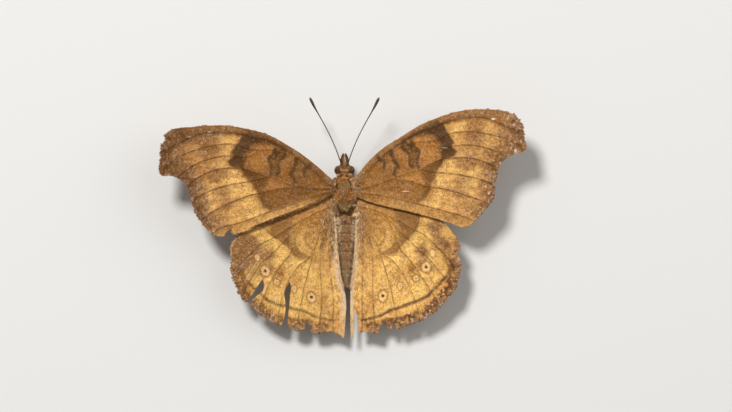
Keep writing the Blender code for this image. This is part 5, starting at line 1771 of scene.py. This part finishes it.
feeler_brown = horn_finish("feeler_brown", colour(40, 27, 16), colour(84, 58, 28), 2500.0)
tongue_brown = horn_finish("tongue_brown", colour(70, 42, 22), colour(120, 80, 44), 3000.0)
for side, sign in SIDES.items():
    rings = limb_rings(mirrored(ANTENNA, sign), 0.06, 10, swelling(38, 0.22))
    limb_object(f"antenna_{side}_jointed", [rings], feeler_brown, "feeler", f"antenna_{side}")
limb_object("tongue", [limb_rings(coiled_tongue(), 0.05, 10, swelling(90, 0.12))], tongue_brown, "feeler",
            "proboscis")

# %% [markdown]
# ## Legs
# A butterfly of this family stands on four legs and keeps its two brush-like forelegs folded against the
# chest. Each walking leg is a thigh, a shin and a foot of five joints that ends in two claws. They are tubes
# with a swelling radius along one path, whose feet lie on the floor, and a coat of short spines and scales.

# %% Walking legs and forelegs
MIDLEG = [(0.7, 1.6, 4.2, 0.34), (0.95, 1.7, 3.3, 0.33), (1.15, 1.8, 2.98, 0.26), (1.5, 1.97, 3.0, 0.22),
          (2.6, 2.53, 3.62, 0.24), (3.6, 3.04, 4.18, 0.17), (3.95, 3.22, 4.26, 0.15),
          (4.2, 3.36, 4.06, 0.15), (5.3, 3.97, 2.45, 0.15), (6.3, 4.55, 0.85, 0.12),
          (6.6, 4.75, 0.40, 0.12), (7.0, 5.08, 0.15, 0.11), (7.7, 5.69, 0.12, 0.11), (9.3, 7.1, 0.10, 0.09),
          (9.7, 7.45, 0.10, 0.07)]
HINDLEG = [(0.65, -0.5, 4.2, 0.34), (0.9, -0.62, 3.3, 0.33), (1.1, -0.75, 2.98, 0.26),
           (1.4, -1.02, 3.0, 0.22), (2.4, -2.06, 3.62, 0.24), (3.3, -3.0, 4.18, 0.17),
           (3.6, -3.35, 4.26, 0.15), (3.83, -3.68, 4.06, 0.15), (4.8, -5.2, 2.45, 0.15),
           (5.8, -6.78, 0.85, 0.12), (6.1, -7.25, 0.40, 0.12), (6.45, -7.75, 0.15, 0.11),
           (6.95, -8.45, 0.12, 0.11), (8.3, -10.3, 0.10, 0.09), (8.6, -10.7, 0.10, 0.07)]
FORELEG = [(0.6, 2.9, 4.2, 0.20), (0.78, 3.3, 3.55, 0.20), (0.85, 4.2, 3.6, 0.17), (0.72, 4.9, 3.75, 0.08)]
leg_brown = horn_finish("leg_brown", colour(120, 84, 50), colour(176, 140, 96), 1800.0)


def claws(path):
    """Two small hooks at a foot's end."""
    (ax, ay, _, _), (bx, by, bz, _) = path[-2:]
    way = np.array((bx - ax, by - ay, 0.0)) / math.hypot(bx - ax, by - ay)
    across, up, tip = np.array((-way[1], way[0], 0.0)), np.array((0, 0, 1.0)), np.array((bx, by, bz))
    hooks = []
    for side in (1, -1):
        points = [(0.0, 0.03, 0.0, 0.035), (0.16, 0.12, 0.02, 0.03), (0.27, 0.16, -0.08, 0.008)]
        hook = [(*(tip + ahead * way + aside * side * across + rise * up), radius)
                for ahead, aside, rise, radius in points]
        hooks.append(limb_rings(hook, 0.06, 6))
    return hooks


leg_paths = {"midleg": MIDLEG, "hindleg": HINDLEG, "foreleg": FORELEG}
for side, sign in SIDES.items():
    for leg, path in leg_paths.items():
        path = mirrored(path, sign)
        parts = [limb_rings(path, 0.12, 12), *([] if leg == "foreleg" else claws(path))]
        limb_object(f"{leg}_{side}_bare", parts, leg_brown, "leg", f"{leg}_{side}")
    palp = limb_rings(mirrored(PALP, sign), 0.08, 12)
    limb_object(f"palp_{side}_bare", [palp], leg_brown, "fur", f"palp_{side}")
print("the midleg's path from hip to claw:", [point[:3] for point in (MIDLEG[0], MIDLEG[-1])])


# %% Scales and spines on legs and palps
# Each coat is (tufts, length, lift, darkness); the others are the walking legs'
LIMB_FUR = {"palp": (700, 0.34, 0.22, 0.75), "foreleg": (420, 0.42, 0.3, 0.1)}
WALKING_FUR = (620, 0.26, 0.12, 0.1)
LIMB_FUR_WIDTH = 0.10


def fur_on_limb(name, limb, seed, path, count, length, lift, darkness):
    """Tufts all round a limb, lying towards its tip; a palp's inner side is pale."""
    rng = np.random.default_rng(seed)
    line = smooth_line(path, 0.05)
    centres, ways = line[:, :3], unit(np.gradient(line[:, :3], axis=0))
    picked = rng.integers(1, len(line) - 1, count)
    out = laid_flat(rng.normal(0, 1, (count, 3)), ways[picked])
    roots = centres[picked] + out * (line[picked, 3] - 0.015)[:, None]
    clear = (roots[:, 2] > 0.6) | ((roots[:, 2] > 0.08) & (out[:, 2] > 0.0))
    out, roots, picked = (part[clear] for part in (out, roots, picked))
    lie = unit(ways[picked] + rng.normal(0, 0.1, out.shape))
    up = unit(out - lift * ways[picked])
    lie = unit(lie + lift * out)
    count, zero = len(roots), np.zeros(len(roots))
    on_skin = np.column_stack([0.02 + 0.9 * picked / len(line), 0.02 + 0.9 * rng.uniform(0, 1, count), zero])
    inward = ramp(-out[:, 0] * np.sign(centres[picked, 0]), 0.3, 0.7) * (limb == "palp")
    values = {"gold": zero, "olive": zero, "low": zero, "belly": zero + 1, "grey": zero + 0.2,
              "dark_fur": darkness * (1 - inward), "pale_fur": 0.25 + 0.6 * inward,
              "shade": rng.normal(0.5, 0.15, count), "size": rng.uniform(0.7, 1.2, count)}
    coat = grow_coat(name, body_to_row(roots), {"up": up, "lie": lie, "root_place": on_skin}, values,
                     hair_tuft, length, LIMB_FUR_WIDTH, fur_coat_finish)
    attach(coat, "root")
    return count


tufts = 0
for side, sign in SIDES.items():
    for number, (leg, path) in enumerate({**leg_paths, "palp": PALP}.items()):
        coat = LIMB_FUR.get(leg, WALKING_FUR)
        tufts += fur_on_limb(f"{leg}_{side}_fur", leg, 40 + number, mirrored(path, sign), *coat)
for tuft in (scale_tuft, hair_tuft):
    bpy.data.objects.remove(tuft)
print("tufts on legs and palps:", tufts)

# %% [markdown]
# ## Floor, light and camera
# A sheet of pale paper stands in for the leaf, only in the picture. A key lamp from the upper left and a wide
# fill from the right give soft daylight with faint shadows. The camera hangs straight above the wings with a
# long lens, as the photo was taken, so that the heights hardly change the outline.

# %% Floor and lamps
FLOOR_REACH = 3.0


def soft_light(name, place, size, power):
    """A round lamp of some size in metres that faces the butterfly."""
    lamp = bpy.data.lights.new(name, "AREA")
    lamp.shape, lamp.size, lamp.energy = "DISK", size, power
    obj = linked(name, lamp)
    obj.location = place
    obj.rotation_euler = (-Vector(place)).to_track_quat("-Z", "Y").to_euler()


paper, _, _ = start_finish("pale_paper", {"Roughness": 0.85, "Base Color": (0.72, 0.71, 0.69, 1.0)})
corners = [(x * FLOOR_REACH, y * FLOOR_REACH, 0) for x, y in ((-1, -1), (1, -1), (1, 1), (-1, 1))]
floor = mesh_object("floor", corners, [(0, 1, 2, 3)], paper)
soft_light("key", (-0.24, 0.42, 0.82), 0.20, 8.0)
soft_light("fill", (0.55, 0.30, 0.60), 0.9, 2.2)
print("the key lamp is", round(Vector((-0.24, 0.42, 0.82)).length, 2), "m away")


# %% World and camera
PICTURE_WIDTH, CAMERA_AWAY, AIM_HEIGHT = 124.4, 1200.0, 8.0
AIM = (3.96, 1.91)
SENSOR = 36.0
bpy.context.scene.view_settings.view_transform = "Standard"
world = bpy.data.worlds.new("studio")
world.use_nodes = True
sky = world.node_tree.nodes["Background"]
sky.inputs["Color"].default_value = (1.0, 0.97, 0.93, 1.0)
sky.inputs["Strength"].default_value = 0.25
bpy.context.scene.world = world
camera_data = bpy.data.cameras.new("camera")
camera_data.sensor_width, camera_data.lens = SENSOR, SENSOR * CAMERA_AWAY / PICTURE_WIDTH
camera_data.clip_start, camera_data.clip_end = 0.01, 20.0
camera = linked("camera", camera_data)
camera.location = (AIM[0] * MM, AIM[1] * MM, (AIM_HEIGHT + CAMERA_AWAY) * MM)
bpy.context.scene.camera = camera
print("lens:", round(camera_data.lens), "mm, to take in", PICTURE_WIDTH, "mm at the wings")
